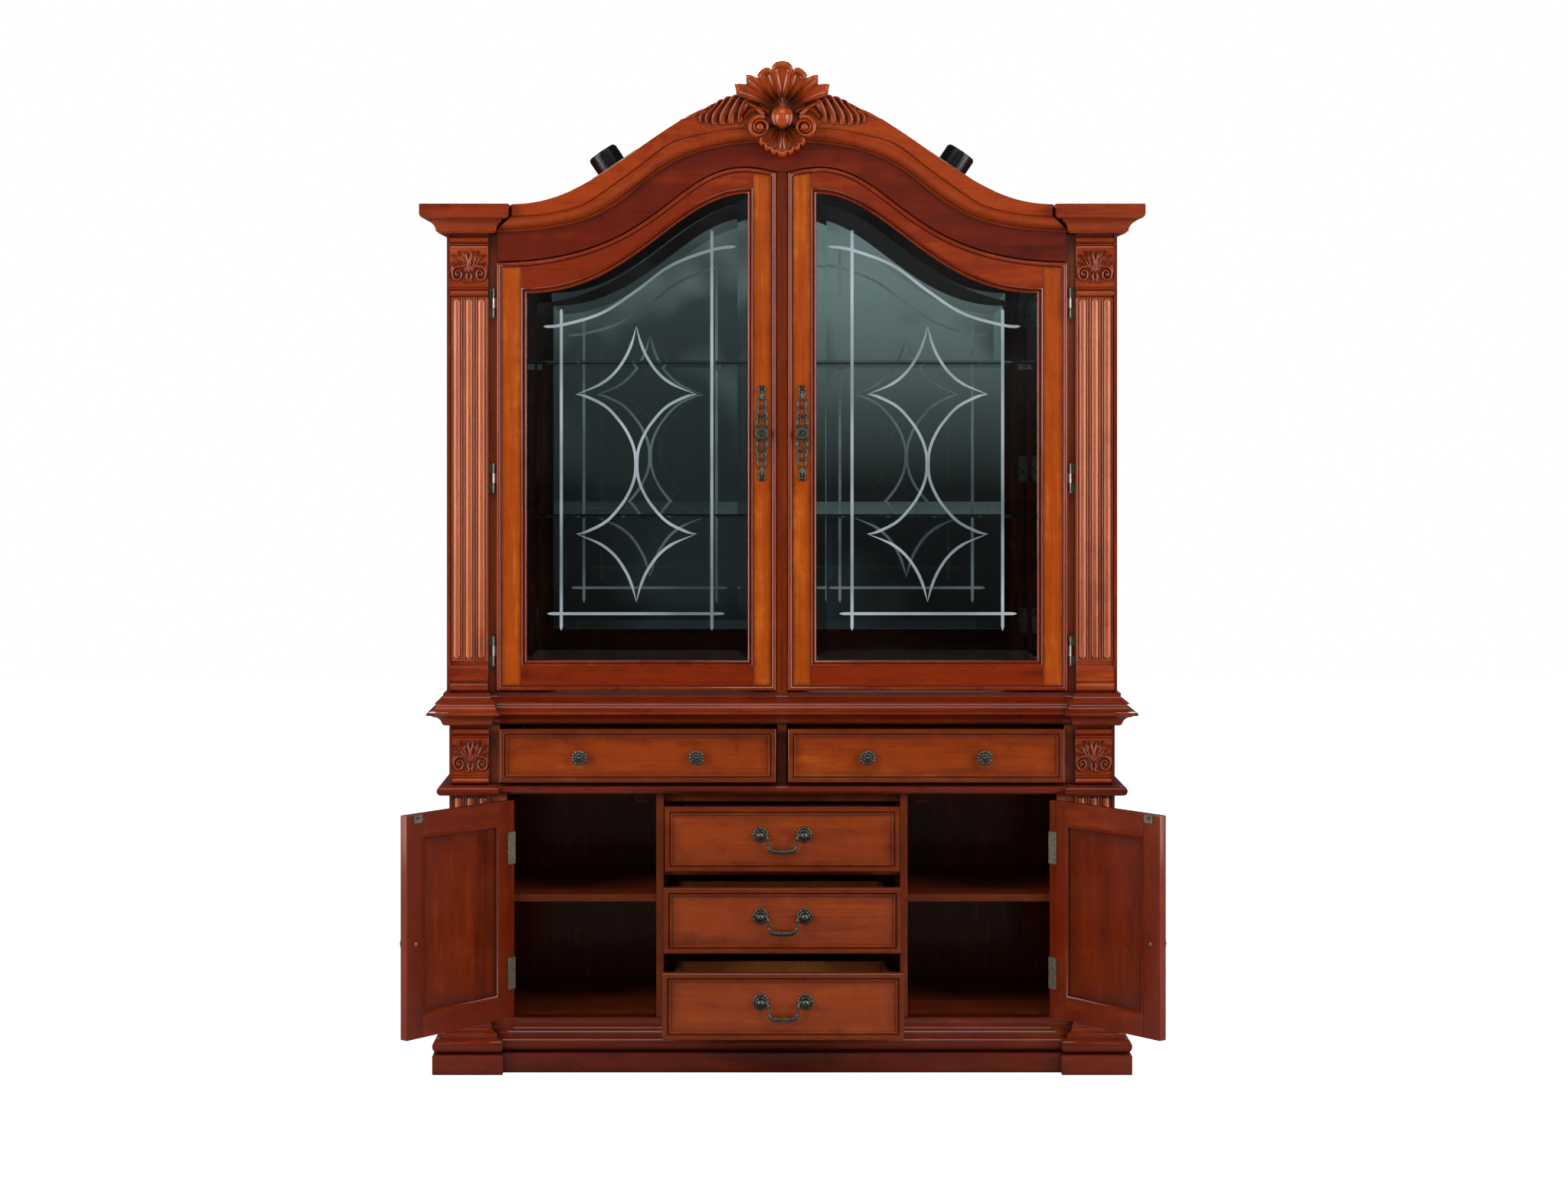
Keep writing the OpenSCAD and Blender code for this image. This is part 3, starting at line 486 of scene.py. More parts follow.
def frosted():
    """Ground glass of the cut lines, with a faint glow in place of scattered light."""
    t = Tree("cut_lines")
    frost = t.noise(t.coords((1, 1, 1)), 900, 2, 0.7)
    run = t.noise(t.coords((1, 1, 1)), 4.5, 2, 0.5)
    share = t.math("ADD", t.math("MULTIPLY", frost, 0.35), t.math("MULTIPLY", run, 0.65))
    colour = t.mix(t.ramp(share, [(0.38, 0.0), (0.62, 1.0)]), srgb(92, 104, 107), srgb(158, 171, 177))
    rough = t.ramp(frost, [(0.3, 0.35), (0.7, 0.6)])
    return t.finish(Base_Color=colour, Roughness=rough, Emission_Color=colour, Emission_Strength=0.36,
                    Normal=t.bump(frost, 0.3, 0.0002))


def lacquer_black():
    """Gloss black of the light cans."""
    t = Tree("black_lacquer")
    peel = t.noise(t.coords((1, 1, 1)), 240, 3, 0.5)
    colour = t.mix(t.ramp(peel, [(0.3, 0.0), (0.7, 1.0)]), srgb(13, 13, 14), srgb(24, 24, 25))
    return t.finish(Base_Color=colour, Roughness=t.ramp(peel, [(0.3, 0.2), (0.7, 0.3)]), Coat_Weight=0.6,
                    Coat_Roughness=0.12, Normal=t.bump(peel, 0.06, 0.0006))


aged_metal = metal("aged_pewter", srgb(128, 126, 116), srgb(44, 44, 41), metallic=0.85)
grey_hinge = metal("antique_hinge", srgb(150, 142, 126), srgb(104, 98, 86), 0.42, 120.0, 0.4, 0.5)
bright_hinge = metal("nickel", srgb(226, 224, 218), srgb(190, 188, 182), 0.28, 90.0, 0.25, 0.45)
door_glass = glass("door_glass", (0.93, 0.965, 0.955, 1))
shelf_glass = glass("shelf_glass", (0.80, 0.93, 0.88, 1))
mirror_mat = mirror_glass()
frost_mat = frosted()
black_mat = lacquer_black()

NODE_WOOD = {
    "base_floor": ("x", "inside"), "base_sides": ("z", "case"), "base_back": ("z", "inside"),
    "partitions": ("z", "inside"), "base_shelves": ("x", "inside"), "drawer_runners": ("y", "inside"),
    "hutch_sides": ("z", "case"), "hutch_back": ("z", "inside"), "hutch_roof": ("x", "case"),
    "header_board": ("x", "frieze"), "mullion": ("z", "mullion"), "light_boards": ("x", "ply"),
}


def paint(node, material):
    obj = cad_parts[node]
    obj.data.materials.clear()
    obj.data.materials.append(material)


# The second number sets the painted shade in recesses, weaker on the mullion
for node_name, (grain_axis, node_tone) in NODE_WOOD.items():
    paint(node_name, wood(grain_axis, node_tone, 0.4 if node_tone == "inside" else 0.3,
                          0.35 if node_name == "mullion" else 0.68,
                          0.2 if node_tone == "inside" or node_name == "hutch_roof" else 0.75))
paint("mirror", mirror_mat)
for node_name in ("mirror", "hutch_roof", "hutch_sides", "header_board"):
    even_normals(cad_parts[node_name])
for node_name in ("fixed_hinge_leaves", "base_door_left_hardware", "base_door_right_hardware"):
    paint(node_name, grey_hinge)
paint("ball_catches", metal("catch_brass", srgb(120, 70, 40), srgb(66, 34, 18), 0.4, 200.0, 0.6))
for node_name in ("glass_door_left_hinges", "glass_door_right_hinges", "shelf_clips"):
    paint(node_name, bright_hinge)


# ---- Mouldings round the case ----
def plan_path(half, inner, face, recess):
    """Line in plan round the left side, the corner block, the recess between the blocks and the right side."""
    left = [(-half, WALL_Y), (-half, face), (-inner, face), (-inner, face + recess)]
    return left + [(-x, y) for x, y in reversed(left)]


def moulding(name, path, profile, tone, replaces, shares=None, inward=30.0, core=()):
    """Strips of one profile of (projection, z) round a plan path, mitred at its square corners."""
    shares = shares or [1] * (len(path) - 1)
    loop = list(profile) + [(-inward, profile[-1][1]), (-inward, profile[0][1])]
    normals = []
    for a, b in zip(path, path[1:]):
        length = math.hypot(b[0] - a[0], b[1] - a[1])
        normals.append(((b[1] - a[1]) / length, -(b[0] - a[0]) / length))
    strips = {"x": Shape(), "y": Shape()}
    for i, (a, b) in enumerate(zip(path, path[1:])):
        rings = []
        for p, near in ((a, i - 1), (b, i + 1)):
            ring = []
            for u, z in loop:
                x = p[0] + normals[i][0] * u * shares[i]
                y = p[1] + normals[i][1] * u * shares[i]
                if 0 <= near < len(normals):
                    x += normals[near][0] * u * shares[near]
                    y += normals[near][1] * u * shares[near]
                ring.append((x, y, z))
            rings.append(ring)
        strips["x" if abs(b[0] - a[0]) > abs(b[1] - a[1]) else "y"].rings(rings)
    for x, y, z in core:
        strips["x"].board(x, y, z, 0.5)
    piece(name, strips["x"], "case", wood("x", tone), replaces, 30)
    piece(name + "_returns", strips["y"], "case", wood("y", tone), (), 30)


plinth_profile = [(33, 0), (34, 2), (34, 41), (33.2, 43), (31, 44), *arc(17, 62, 17, -80, 80, 18),
                  (20, 80), (20, 86), *arc(22, 102, 14, 255, 180, 10), (8, 106), (6.6, 106.6), (5.4, 108),
                  (5, 110), (5, FLOOR_Z)]
waist_profile = [(9, WAIST_Z), *arc(14, WAIST_Z + 11, 11, -80, 80, 18), (9, WAIST_Z + WAIST_T)]
counter_profile = [(0, COUNTER_Z), (8, COUNTER_Z + 1), (11, COUNTER_Z + 2), (14, COUNTER_Z + 5),
                   *arc(34, COUNTER_Z + 2, 20, 165, 95, 12), (35, 787), (36, 788), (43, 788.4), (45.4, 789.6),
                   (46, 792), (45.2, 794), (43, 795), *arc(42, COUNTER_TOP, 16, 262, 190, 12),
                   (24, COUNTER_TOP)]
hutch_foot_profile = [(24, COUNTER_TOP), (23.4, 814), (21, 815.5), *arc(20, 832, 14, 250, 195, 8),
                      (7, 830.5), (7, HUTCH_FLOOR_Z)]
cornice_profile = [(17, HUTCH_SIDE_Z), (18, 1851), (22, 1852), (22, 1856), *arc(44, 1852, 22, 160, 112, 10),
                   (36, 1875), (36.5, 1877.5), (43, 1878.2), *arc(43, 1890, 12, -70, 0, 8),
                   (55, 1907.5), (54, 1910.3), (51.5, CORNICE_Z)]
RECESS = 25  # depth of the front between the corner blocks
SHY = 0.2  # keeps the core boards clear of the strips' own faces, which would shade them black

base_path = plan_path(BASE_HALF, PIL_IN, PIL_Y, RECESS)
moulding("plinth_moulding", base_path, plinth_profile, "case", ["plinth"],
         core=[((-716, 716), (-186, -170), (10, 96)), ((-716, 716), (214, 231), (10, 96)),
               ((-9, 9), (-170, 214), (8, 96))])
moulding("waist_moulding", base_path, waist_profile, "case", ["waist_shelf"],
         core=[((-712, 712), (-205, 231), (WAIST_Z + SHY, WAIST_Z + WAIST_T - SHY))])
moulding("counter_moulding", base_path, counter_profile, "case", ["counter_top"],
         shares=[1, 1, 0.6, 1, 0.6, 1, 1], core=[((-712, 712), (-208, 239.5), (790, COUNTER_TOP - SHY))])
moulding("hutch_foot", plan_path(HUTCH_HALF, HUTCH_PIL_IN, HUTCH_PIL_Y, RECESS), hutch_foot_profile, "case",
         ["hutch_floor"], shares=[1, 1, 0.8, 1, 0.8, 1, 1],
         core=[((-720, 720), (-206, 239.5), (812.5, HUTCH_FLOOR_Z - SHY))])

# ---- Arched crown ----
crown_top = both(bezier([(-594, CORNICE_Z), (-370, CORNICE_Z), (-270, CROWN_Z), (0, CROWN_Z)], 48))
cove_low = both(bezier([(-634, 1851), (-240, 1851), (-389, 2050), (0, 2050)], 48))
fascia_low = both(spline([(-594, 1884.5), (-520, 1889), (-447, 1906), (-410, 1926.5), (-319, 1991),
                          (-257, 2038.5), (-205, 2058), (-130, 2074), (-60, 2079), (0, 2080)], 48))
ARCH_BACK, COVE_Y, COVE_STEPS = -210, -258.2, 12
# (share of the way, y) down the fascia, and down the cove below it
FASCIA = [(0, ARCH_BACK), (0, -262), (0.03, -263.8), (0.06, -264.2), (0.90, -264.2), (0.955, -263.4),
          (0.99, -261.6), (1, -259)]
COVE = [(0.03, -258.6), (0.06, -259.6), (0.12, -259.8), (0.17, COVE_Y)]
COVE += [(0.17 + 0.60 * math.sin(a), COVE_Y + 23.2 * (1 - math.cos(a)) ** 0.9)
         for a in (math.pi / 2 * k / COVE_STEPS for k in range(1, COVE_STEPS + 1))]
COVE += [(0.79, -234.6), (0.80, -232.8), (0.83, -234.2), (0.87, -234.6), (0.905, -233.8), (0.915, -231.6),
         (0.94, -232.6), (0.97, -232.4), (0.995, -230), (1, -226.3), (1, ARCH_BACK)]


def between(a, b, steps):
    """Points at shares of the way from a to b, each at its own y."""
    return [(a[0] + (b[0] - a[0]) * k, y, a[1] + (b[1] - a[1]) * k) for k, y in steps]


crown = Shape().rings([between(top, mid, FASCIA) + between(mid, low, COVE)
                       for top, mid, low in zip(crown_top, fascia_low, cove_low)])
piece("crown_arch", crown, "case", wood("x", "crown", 0.28), ["crown_moulding"], 32)

block_path = [(-HUTCH_PIL_IN, -205), (-HUTCH_PIL_IN, HUTCH_PIL_Y), (-HUTCH_HALF, HUTCH_PIL_Y),
              (-HUTCH_HALF, WALL_Y)]
for side, path in (("left", list(reversed(block_path))), ("right", [(-x, y) for x, y in block_path])):
    s = -1 if side == "left" else 1
    moulding(f"cornice_{side}", path, cornice_profile, "carved", [],
             shares=[1, 1, 0.9] if side == "left" else [0.9, 1, 1], inward=17,
             core=[((s * 664, s * 724), (-218, -188), (1849, 1911)),
                   ((s * 629, s * 664), (-224, -187.2), (1849, 1908))])

# ---- Pilasters ----
# Sections of carved leaves: (share across, share of the height)
ROUND = both([(-1, 0.02), (-0.93, 0.36), (-0.75, 0.68), (-0.45, 0.9), (0, 1)])
FLUTE = both([(-1, 0.1), (-0.93, 0.72), (-0.82, 1), (-0.68, 0.94), (-0.5, 0.62), (-0.25, 0.36), (0, 0.28)])
RIDGE = both([(-1, 0.05), (-0.85, 0.5), (-0.6, 0.62), (-0.35, 0.56), (-0.12, 0.86), (0, 1)])


def reed(shape, x, w, depth, y, z0, z1, end=9.0):
    """Half-round bar with rounded ends."""
    turns = [math.pi / 2 * k / 7 for k in range(8)]
    tip = [(z0 + end * (1 - math.cos(a)), max(0.08, math.sin(a))) for a in turns]
    middle = [(z0 + (z1 - z0) * k / 8, 1) for k in range(1, 8)]
    rings = []
    for z, q in tip + middle + [(z0 + z1 - z, q) for z, q in tip[::-1]]:
        ring = [(x + w * q * c, y - depth * q * s, z) for c, s in circle(24)[:13]]
        rings.append(ring + [(x - w * q, y + 3, z), (x + w * q, y + 3, z)])
    shape.rings(rings)


def shaft(mid, half, y, y_back, z0, z1):
    """Pilaster with three broad reeds, a pair of fine ones in each gap and one at each edge."""
    s = Shape().board((mid - half, mid + half), (y, y_back), (z0, z1), 1.2)
    for k in (-1, 0, 1):
        reed(s, mid + 27 * k, 8.8, 8.2, y + 0.4, z0 + 3, z1 - 2)
    for k in (-1, 1):
        for d in (-2.9, 2.9):
            reed(s, mid + 13.5 * k + d, 2.3, 4.4, y + 0.4, z0 + 3, z1 - 2, 3.0)
    for k in (-1, 1):
        reed(s, mid + 37.6 * k, 1.6, 2.6, y + 0.4, z0 + 3, z1 - 2, 3.0)
    return s


CORBEL_FOOT, CORBEL_HEAD = 24, 28


def corbel_front(y, t):
    """Y of the waved front of a carved block at a share t of its height."""
    bulge = 2.6 * math.sin(math.pi * smooth(t)) - 2.2 * math.sin(2 * math.pi * t)
    return y + 3.2 - bulge * 0.9 + 1.2 * (1 - t)


def corbel_profile(y, y_back, z0, z1):
    """Y-Z outline of a carved block, anticlockwise when seen from +X."""
    low, high = z0 + CORBEL_FOOT, z1 - CORBEL_HEAD
    return [(y_back, z0), (y + 6, z0), *arc(y + 4.5, z0 + 8, 6.4, -88, -272, 14),
            (y + 5, z0 + 16), (y + 2.6, z0 + 17), (y + 2.2, z0 + 19.5), (y + 5.4, z0 + 20.5),
            *[(corbel_front(y, k / 14), low + (high - low) * k / 14) for k in range(15)],
            (y + 5.4, z1 - 26.5), (y + 2.2, z1 - 25.5), (y + 2.6, z1 - 23), (y + 5.5, z1 - 22),
            *arc(y + 4.5, z1 - 13, 6.6, -92, -268, 14), (y + 6.5, z1 - 5.5), (y + 6.5, z1), (y_back, z1)]


def palmette(s, cx, cz, y):
    """Small carved palmette over two volutes, cz at the middle of the carving."""
    def leaf(points, w, h, n=14, kind=FLUTE):
        s.leaf([(cx + a, cz + b) for a, b in points],
               lambda t: w * (0.32 + 0.68 * math.sin(math.pi * min(1, 0.12 + t * 0.88) ** 0.85)) * (1 - t**9),
               lambda t: h * (0.55 + 0.45 * math.sin(math.pi * (0.15 + 0.8 * t))), kind, y, n)
    for k in (-1, 1):
        leaf([(0.6 * k, -16), (1.5 * k, 4), (7.5 * k, 32)], 4.2, 6.0, 14, ROUND)
    for k in (-1, 1):
        leaf([(2 * k, -14), (8 * k, 8), (13 * k, 20), (22.5 * k, 31)], 6.6, 5.2)
        leaf([(3 * k, -14), (13 * k, 5), (22 * k, 15), (37 * k, 21)], 6.8, 5.0)
        leaf([(3 * k, -18), (5.5 * k, -27), (3 * k, -35), (14 * k, -40)], 3.2, 4.6, 12, ROUND)
        turn = [(25 + r * math.cos(a), -21 + 1.25 * r * math.sin(a)) for r, a in
                [(14.5 - 10.8 * i / 30, math.radians(140 - 560 * i / 30)) for i in range(31)]]
        spiral = [(4, -12), (8, -2)] + turn[2:]
        s.leaf([(cx + k * a, cz + b) for a, b in spiral], lambda t: 3.4 - 1.3 * t, lambda t: 5.6 - 1.2 * t,
               ROUND, y, 54)
        s.dome(cx + 25 * k, cz - 21, 4.2, 4.8, y(cx, cz - 21), 5.6, 18, 5)
        leaf([(17 * k, -3), (28 * k, 4.5), (38 * k, 3)], 4.2, 4.4, 10, RIDGE)
        leaf([(35 * k, -2), (38.5 * k, -14), (36.5 * k, -28)], 2.8, 3.2, 10, ROUND)


def corbel(mid, half, y, y_back, z0, z1):
    """Carved block with a palmette on its front."""
    s = Shape().along_x(corbel_profile(y, y_back, z0, z1), mid - half, mid + half, 1.0)
    low, high = z0 + CORBEL_FOOT, z1 - CORBEL_HEAD

    def face(_x, z):
        return corbel_front(y, min(1, max(0, (z - low) / (high - low))))
    palmette(s, mid, (low + high) / 2 + 3, face)
    return s


base_mid = (PIL_IN + BASE_HALF - LIP) / 2
hutch_mid = (HUTCH_PIL_IN + HUTCH_HALF - LIP) / 2
BASE_PIL, HUTCH_PIL = 39.8, 41.8  # half widths
base_shaft = shaft(-base_mid, BASE_PIL, PIL_Y + 8, -215.2, 115.2, 609.8)
base_shaft.board((-715.8, -609), (-215, -193), (115.2, 609.8))
base_shaft.board((-715.8, -625), (-215, -193), (632.2, 762.8))
piece("base_pilasters", base_shaft.paired(), "case", wood("z", "reed"), ["base_pilasters"])
# Carvings get stronger painted shade in their recesses
piece("base_corbels", corbel(-base_mid, BASE_PIL, PIL_Y + 1, -215.2, 632.2, 762.8).paired(), "case",
      wood("x", "carved", 0.24, 0.9), angle=44)

hutch_shaft = shaft(-hutch_mid, HUTCH_PIL, HUTCH_PIL_Y + 8, -209.2, 904, 1707.8)
hutch_shaft.board((-721.8, -628), (-209, -187), (834.2, 1847.8))
foot = [(-209.2, 834.3), (-233, 834.3)] + arc(-229, 847, 9.5, -100, -262, 14, 10.6) + [
    (-230.5, 858.6), (-232.6, 860), (-233.6, 862), (-233.4, 876), (-231.6, 891), (-229.5, 893.4), (-226, 894),
    (-224.5, 903.9), (-209.2, 903.9)]
feet = Shape().along_x(foot, -hutch_mid - HUTCH_PIL, -hutch_mid + HUTCH_PIL, 0.8)
piece("hutch_pilasters", hutch_shaft.paired(), "case", wood("z", "reed"), ["hutch_pilasters"])
piece("hutch_pilaster_feet", feet.paired(), "case", wood("x", "carved"))
# Carvings get stronger painted shade in their recesses
piece("hutch_capitals", corbel(-hutch_mid, HUTCH_PIL, HUTCH_PIL_Y + 1, -209.2, 1708, 1847.8).paired(), "case",
      wood("x", "carved", 0.24, 0.9), angle=44)

# ---- Shell and leaves on the crown ----
CREST_Y = -262.0
crest = Shape()


def crest_face(h=0):
    """Flat ground for carving, h in front of the crown's face."""
    return lambda _x, _z: CREST_Y - h


def fan(s, cz, up, lobes, r0, back, base, rim, hollow):
    """Fluted fan round (0, cz), its lobes (end angle, [(angle, radius)...], pointed) from the middle outwards."""
    edge, cuts = [], [0.0]
    for end, line, _ in lobes:
        edge += line
        cuts.append(end)

    def radius(a):
        for (a0, q0), (a1, q1) in zip(edge, edge[1:]):
            if a0 <= a <= a1:
                return q0 + (q1 - q0) * (a - a0) / max(1e-6, a1 - a0)
        return edge[-1][1]

    rings, last = [], cuts[-1]
    for i in range(-260, 261):
        a = abs(last * i / 260)
        k = next((m for m in range(len(cuts) - 1) if a <= cuts[m + 1] + 1e-9), len(cuts) - 2)
        lo, hi = (-cuts[1], cuts[1]) if k == 0 else (cuts[k], cuts[k + 1])
        u = 2 * (a - lo) / (hi - lo) - 1
        outer = radius(a)
        ring = []
        for m in range(31):
            t = 1 - (1 - m / 30) ** 1.35
            q = r0 + (outer - r0) * t
            edge_way = 1 - abs(u)
            crest_rim = math.exp(-((edge_way / 0.2) ** 2)) * (1 - math.exp(-((edge_way / 0.05) ** 2)) * 0.9)
            bowl = hollow * (1 - u * u)
            lip = 0 if lobes[k][2] else smooth((t - 0.80) / 0.1)
            h = base * (0.55 + 0.45 * math.sin(math.pi * (0.1 + 0.62 * t)))
            h += rim * crest_rim * smooth(t * 5) * (1 - 0.5 * lip) - bowl * smooth(t * 4) * (1 - lip)
            h += 2.5 * lip
            h *= math.sqrt(max(0.02, 1 - max(0, (t - 0.93) / 0.07) ** 2))
            x = q * math.sin(math.radians(a)) * (1 if i >= 0 else -1)
            ring.append((x, back - max(0.8, h), cz + up * q * math.cos(math.radians(a))))
        ring += [(ring[-1][0] * 0.995, back + 1.8, ring[-1][2]), (ring[0][0], back + 1.8, ring[0][2])]
        rings.append(ring)
    s.rings(rings)


BLADE = [(-1, 0.06), (-0.86, 0.3), (-0.5, 0.4), (-0.1, 0.52), (0.3, 0.74), (0.58, 0.95), (0.76, 1.0),
         (0.9, 0.88), (1, 0.3)]
top_lobe = [(0, 107.3), (4, 107), (8, 105.6), (11, 103), (13.5, 98.5), (15.2, 92)]
second_lobe = [(15.6, 92), (17.5, 97), (20.5, 99.6), (24, 100.2), (28, 99.6), (32, 98), (35.5, 94.6),
               (37.6, 89)]
third_lobe = [(38.2, 89), (40, 96.5), (42.8, 104.2), (45.6, 110), (48.5, 104.8), (51.8, 100.6), (55.2, 97)]
fourth_lobe = [(55.6, 97), (57.2, 105), (59.4, 112.5), (61.8, 118.6), (65.4, 112.2), (69.4, 107.6), (74, 105)]
fan(crest, 2118, 1, [(15.4, top_lobe, False), (37.9, second_lobe, False), (55.4, third_lobe, True),
                     (74, fourth_lobe, True)], 6, CREST_Y - 4, 21, 5.0, 8.5)
drop = [(a, 84.3 - 0.22 * abs(a) - (5 if k else 0)) for a, k in (
    (0, 0), (5.5, 0), (8.2, 1), (8.8, 1), (11, 0), (17, 0), (20.6, 1), (21.2, 1), (24, 0), (30, 0), (33.6, 1),
    (34.2, 1), (37, 0), (43, 0), (48, 1))]
fan(crest, 2098, -1, [(8.5, drop[:3], False), (20.9, drop[3:7], False), (33.9, drop[7:11], False),
                      (48, drop[11:], False)], 6, CREST_Y - 2, 17, 3.6, 5.0)
wing = Shape()
turns = [(49 + (23.5 - 15 * i / 44) * math.cos(math.radians(118 - 640 * i / 44)),
          2079 + (23.5 - 15 * i / 44) * math.sin(math.radians(118 - 640 * i / 44))) for i in range(45)]
wing.leaf(turns, lambda t: 6.0 - 2.2 * t, lambda t: 11 - 1.5 * t, ROUND, crest_face(7), 96)
wing.dome(49, 2079, 9.6, 9.6, CREST_Y - 10, 14, 28, 7)
wing.dome(49, 2079, 22, 22, CREST_Y + 4, 13, 36, 7)
for top, low, w, h in (((84, 2140), (92, 2087), 9.5, 17), ((98, 2144), (112, 2086), 10, 18),
                       ((113, 2145), (131, 2085), 10.2, 18), ((129, 2142), (149, 2084), 9.8, 17),
                       ((145, 2136), (164, 2085), 9.0, 15), ((160, 2127), (177, 2087), 8.0, 13)):
    run = [(top[0] - 34, top[1] - 8), (top[0] - 12, top[1] - 3), (top[0] - 1, top[1] - 16),
           (low[0] - 2, low[1] + 18), (low[0], low[1])]
    wing.leaf(run, lambda t, w=w: w * (0.42 + 0.62 * math.sin(math.pi * (0.06 + 0.80 * t))) * (1 - 0.55 * t**7),
              lambda t, h=h: h * (0.42 + 0.58 * math.sin(math.pi * (0.1 + 0.82 * t))), BLADE, crest_face(), 24)
wing.leaf([(40, 2106), (62, 2126), (100, 2140), (146, 2130), (190, 2107), (224, 2094)],
          lambda t: 7.4 - 5.4 * t, lambda t: 15 - 11.4 * t, ROUND, crest_face(), 40)
wing.leaf([(30, 2110), (52, 2118), (72, 2112), (82, 2098)],
          lambda t: 5.6 - 2 * t, lambda t: 17 - 4 * t, BLADE, crest_face(), 20)
wing.leaf([(84, 2084), (130, 2080), (176, 2085), (214, 2092)],
          lambda t: 2.8 - 1.2 * t, lambda t: 5 - 2 * t, ROUND, crest_face(), 24)
crest.plus(wing.paired())
crest.dome(0, 2101, 24, 27.5, CREST_Y - 12, 9, 40, 6)
crest.dome(0, 2101, 18.5, 23, CREST_Y - 18, 13, 40, 9)
# The shell and leaves get strong painted shade in their recesses
piece("shell_crest", crest, "case", wood("z", "crest", 0.2, 0.95), ["shell_crest"], 50)

# ---- Glass doors ----
DOOR_L, DOOR_R, DOOR_LOW = -631, -12.5, 838.3
GLASS_L, GLASS_R, GLASS_LOW = -564, -76, 905
NOSE_IN = 11.4  # width of the rounded nose round each door
door_top = bezier([(DOOR_L, 1784.5), (-274, 1784.5), (-246, 1994), (-80, 1994)], 40)
glass_top = bezier([(GLASS_L, 1716), (-330, 1716), (-232, 1936), (GLASS_R, 1936)], 40)
door_line = door_top + [(-48, 1991), (-30, 1987.5), (DOOR_R, 1982)]
door_outline = [(DOOR_L, DOOR_LOW), (DOOR_R, DOOR_LOW)] + door_line[::-1]
opening = [(GLASS_L, GLASS_LOW), (GLASS_R, GLASS_LOW)] + glass_top[::-1]
NOSE = [(0, -211.2), (0, -224.5), (0.7, -227.6), (2.2, -229.7), (4.2, -230.8), (6.2, -230.8), (8.2, -229.8),
        (9.8, -227.8), (10.4, -225.6), (11.2, -225.2), (NOSE_IN, -211.2)]
BEAD = [(0.0, -213.5), (0.0, -222.6), (-0.6, -224.9), (-2.0, -226.6), (-3.8, -227.0), (-5.4, -226.0),
        (-6.2, -224.4), (-7.0, -224.2), (-7.8, -226.4), (-9.0, -228.6), (-10.6, -229.6), (-11.6, -229.2),
        (-12.0, -227.4), (-12.0, -213.5)]
FLAT_Y, FLAT_BACK = -228.4, -211
STILE_IN_L, STILE_IN_R = -576, -64


def height_on(line, x):
    """Height at x of a line that runs from left to right."""
    for a, b in zip(line, line[1:]):
        if a[0] <= x <= b[0]:
            return a[1] + (b[1] - a[1]) * (x - a[0]) / max(1e-6, b[0] - a[0])
    return line[0][1] if x < line[0][0] else line[-1][1]


def clip_top(x0, x1, path, rise):
    """The part of an arched line between x0 and x1, from right to left, moved by rise."""
    line = offset(path, rise, closed=False)
    inner = [(x, z) for x, z in line if x0 < x < x1]
    return [(x1, height_on(line, x1))] + inner[::-1] + [(x0, height_on(line, x0))]


STILE_L, STILE_R, RAIL_LOW = -620, -23.7, 849.5
RAIL_L, RAIL_R = STILE_IN_L + 0.3, STILE_IN_R - 0.3
stiles = {}
for stile_name, x0, x1 in (("hinge_stile", STILE_L, STILE_IN_L), ("meeting_stile", STILE_IN_R, STILE_R)):
    outline = [(x0, RAIL_LOW), (x1, RAIL_LOW)] + clip_top(x0, x1, door_line, -NOSE_IN)
    stiles[stile_name] = Shape().along_y(outline, FLAT_Y, FLAT_BACK, 0.7)
bottom_rail = [(RAIL_L, RAIL_LOW), (RAIL_R, RAIL_LOW), (RAIL_R, 893), (RAIL_L, 893)]
top_rail = clip_top(RAIL_L, RAIL_R, glass_top, 12)[::-1] + clip_top(RAIL_L, RAIL_R, door_line, -NOSE_IN)
rails = Shape()
for outline in (bottom_rail, top_rail):
    rails.along_y(outline, FLAT_Y + 0.15, FLAT_BACK, 0.7)
nose = Shape().sweep(door_outline, NOSE)
bead = Shape().sweep(opening, BEAD)


def pane_ring(d, y, n=72):
    """Outline of the pane, d inside its edge, with as many points below as above."""
    line = offset(glass_top, 8.5 - d, closed=False)
    xs = [-572.5 + d + (505 - 2 * d) * i / n for i in range(n + 1)]
    return [(x, y, 896.5 + d) for x in xs] + [(x, y, height_on(line, x)) for x in xs[::-1]]


PANE_FRONT = -219.1
BEVEL = ((0.4, -214.1), (0, -214.5), (0, -216.6), (30, -219.0), (31, PANE_FRONT))
pane = Shape().rings([pane_ring(d, y) for d, y in BEVEL], strips=True)


def lancet(shape, points, w, taper, n=40):
    """Cut line on the glass that narrows to a point at both ends."""
    rings = []
    for t, x, z, nx, nz in stations(spline(points, n)):
        q = max(0.12, w * min(1, t / taper, (1 - t) / taper))
        rings.append([(x + nx * q * u, PANE_FRONT + h, z + nz * q * u)
                      for u, h in ((-1, 0.4), (-1, -0.1), (0, -0.35), (1, -0.1), (1, 0.4))])
    shape.rings(rings)


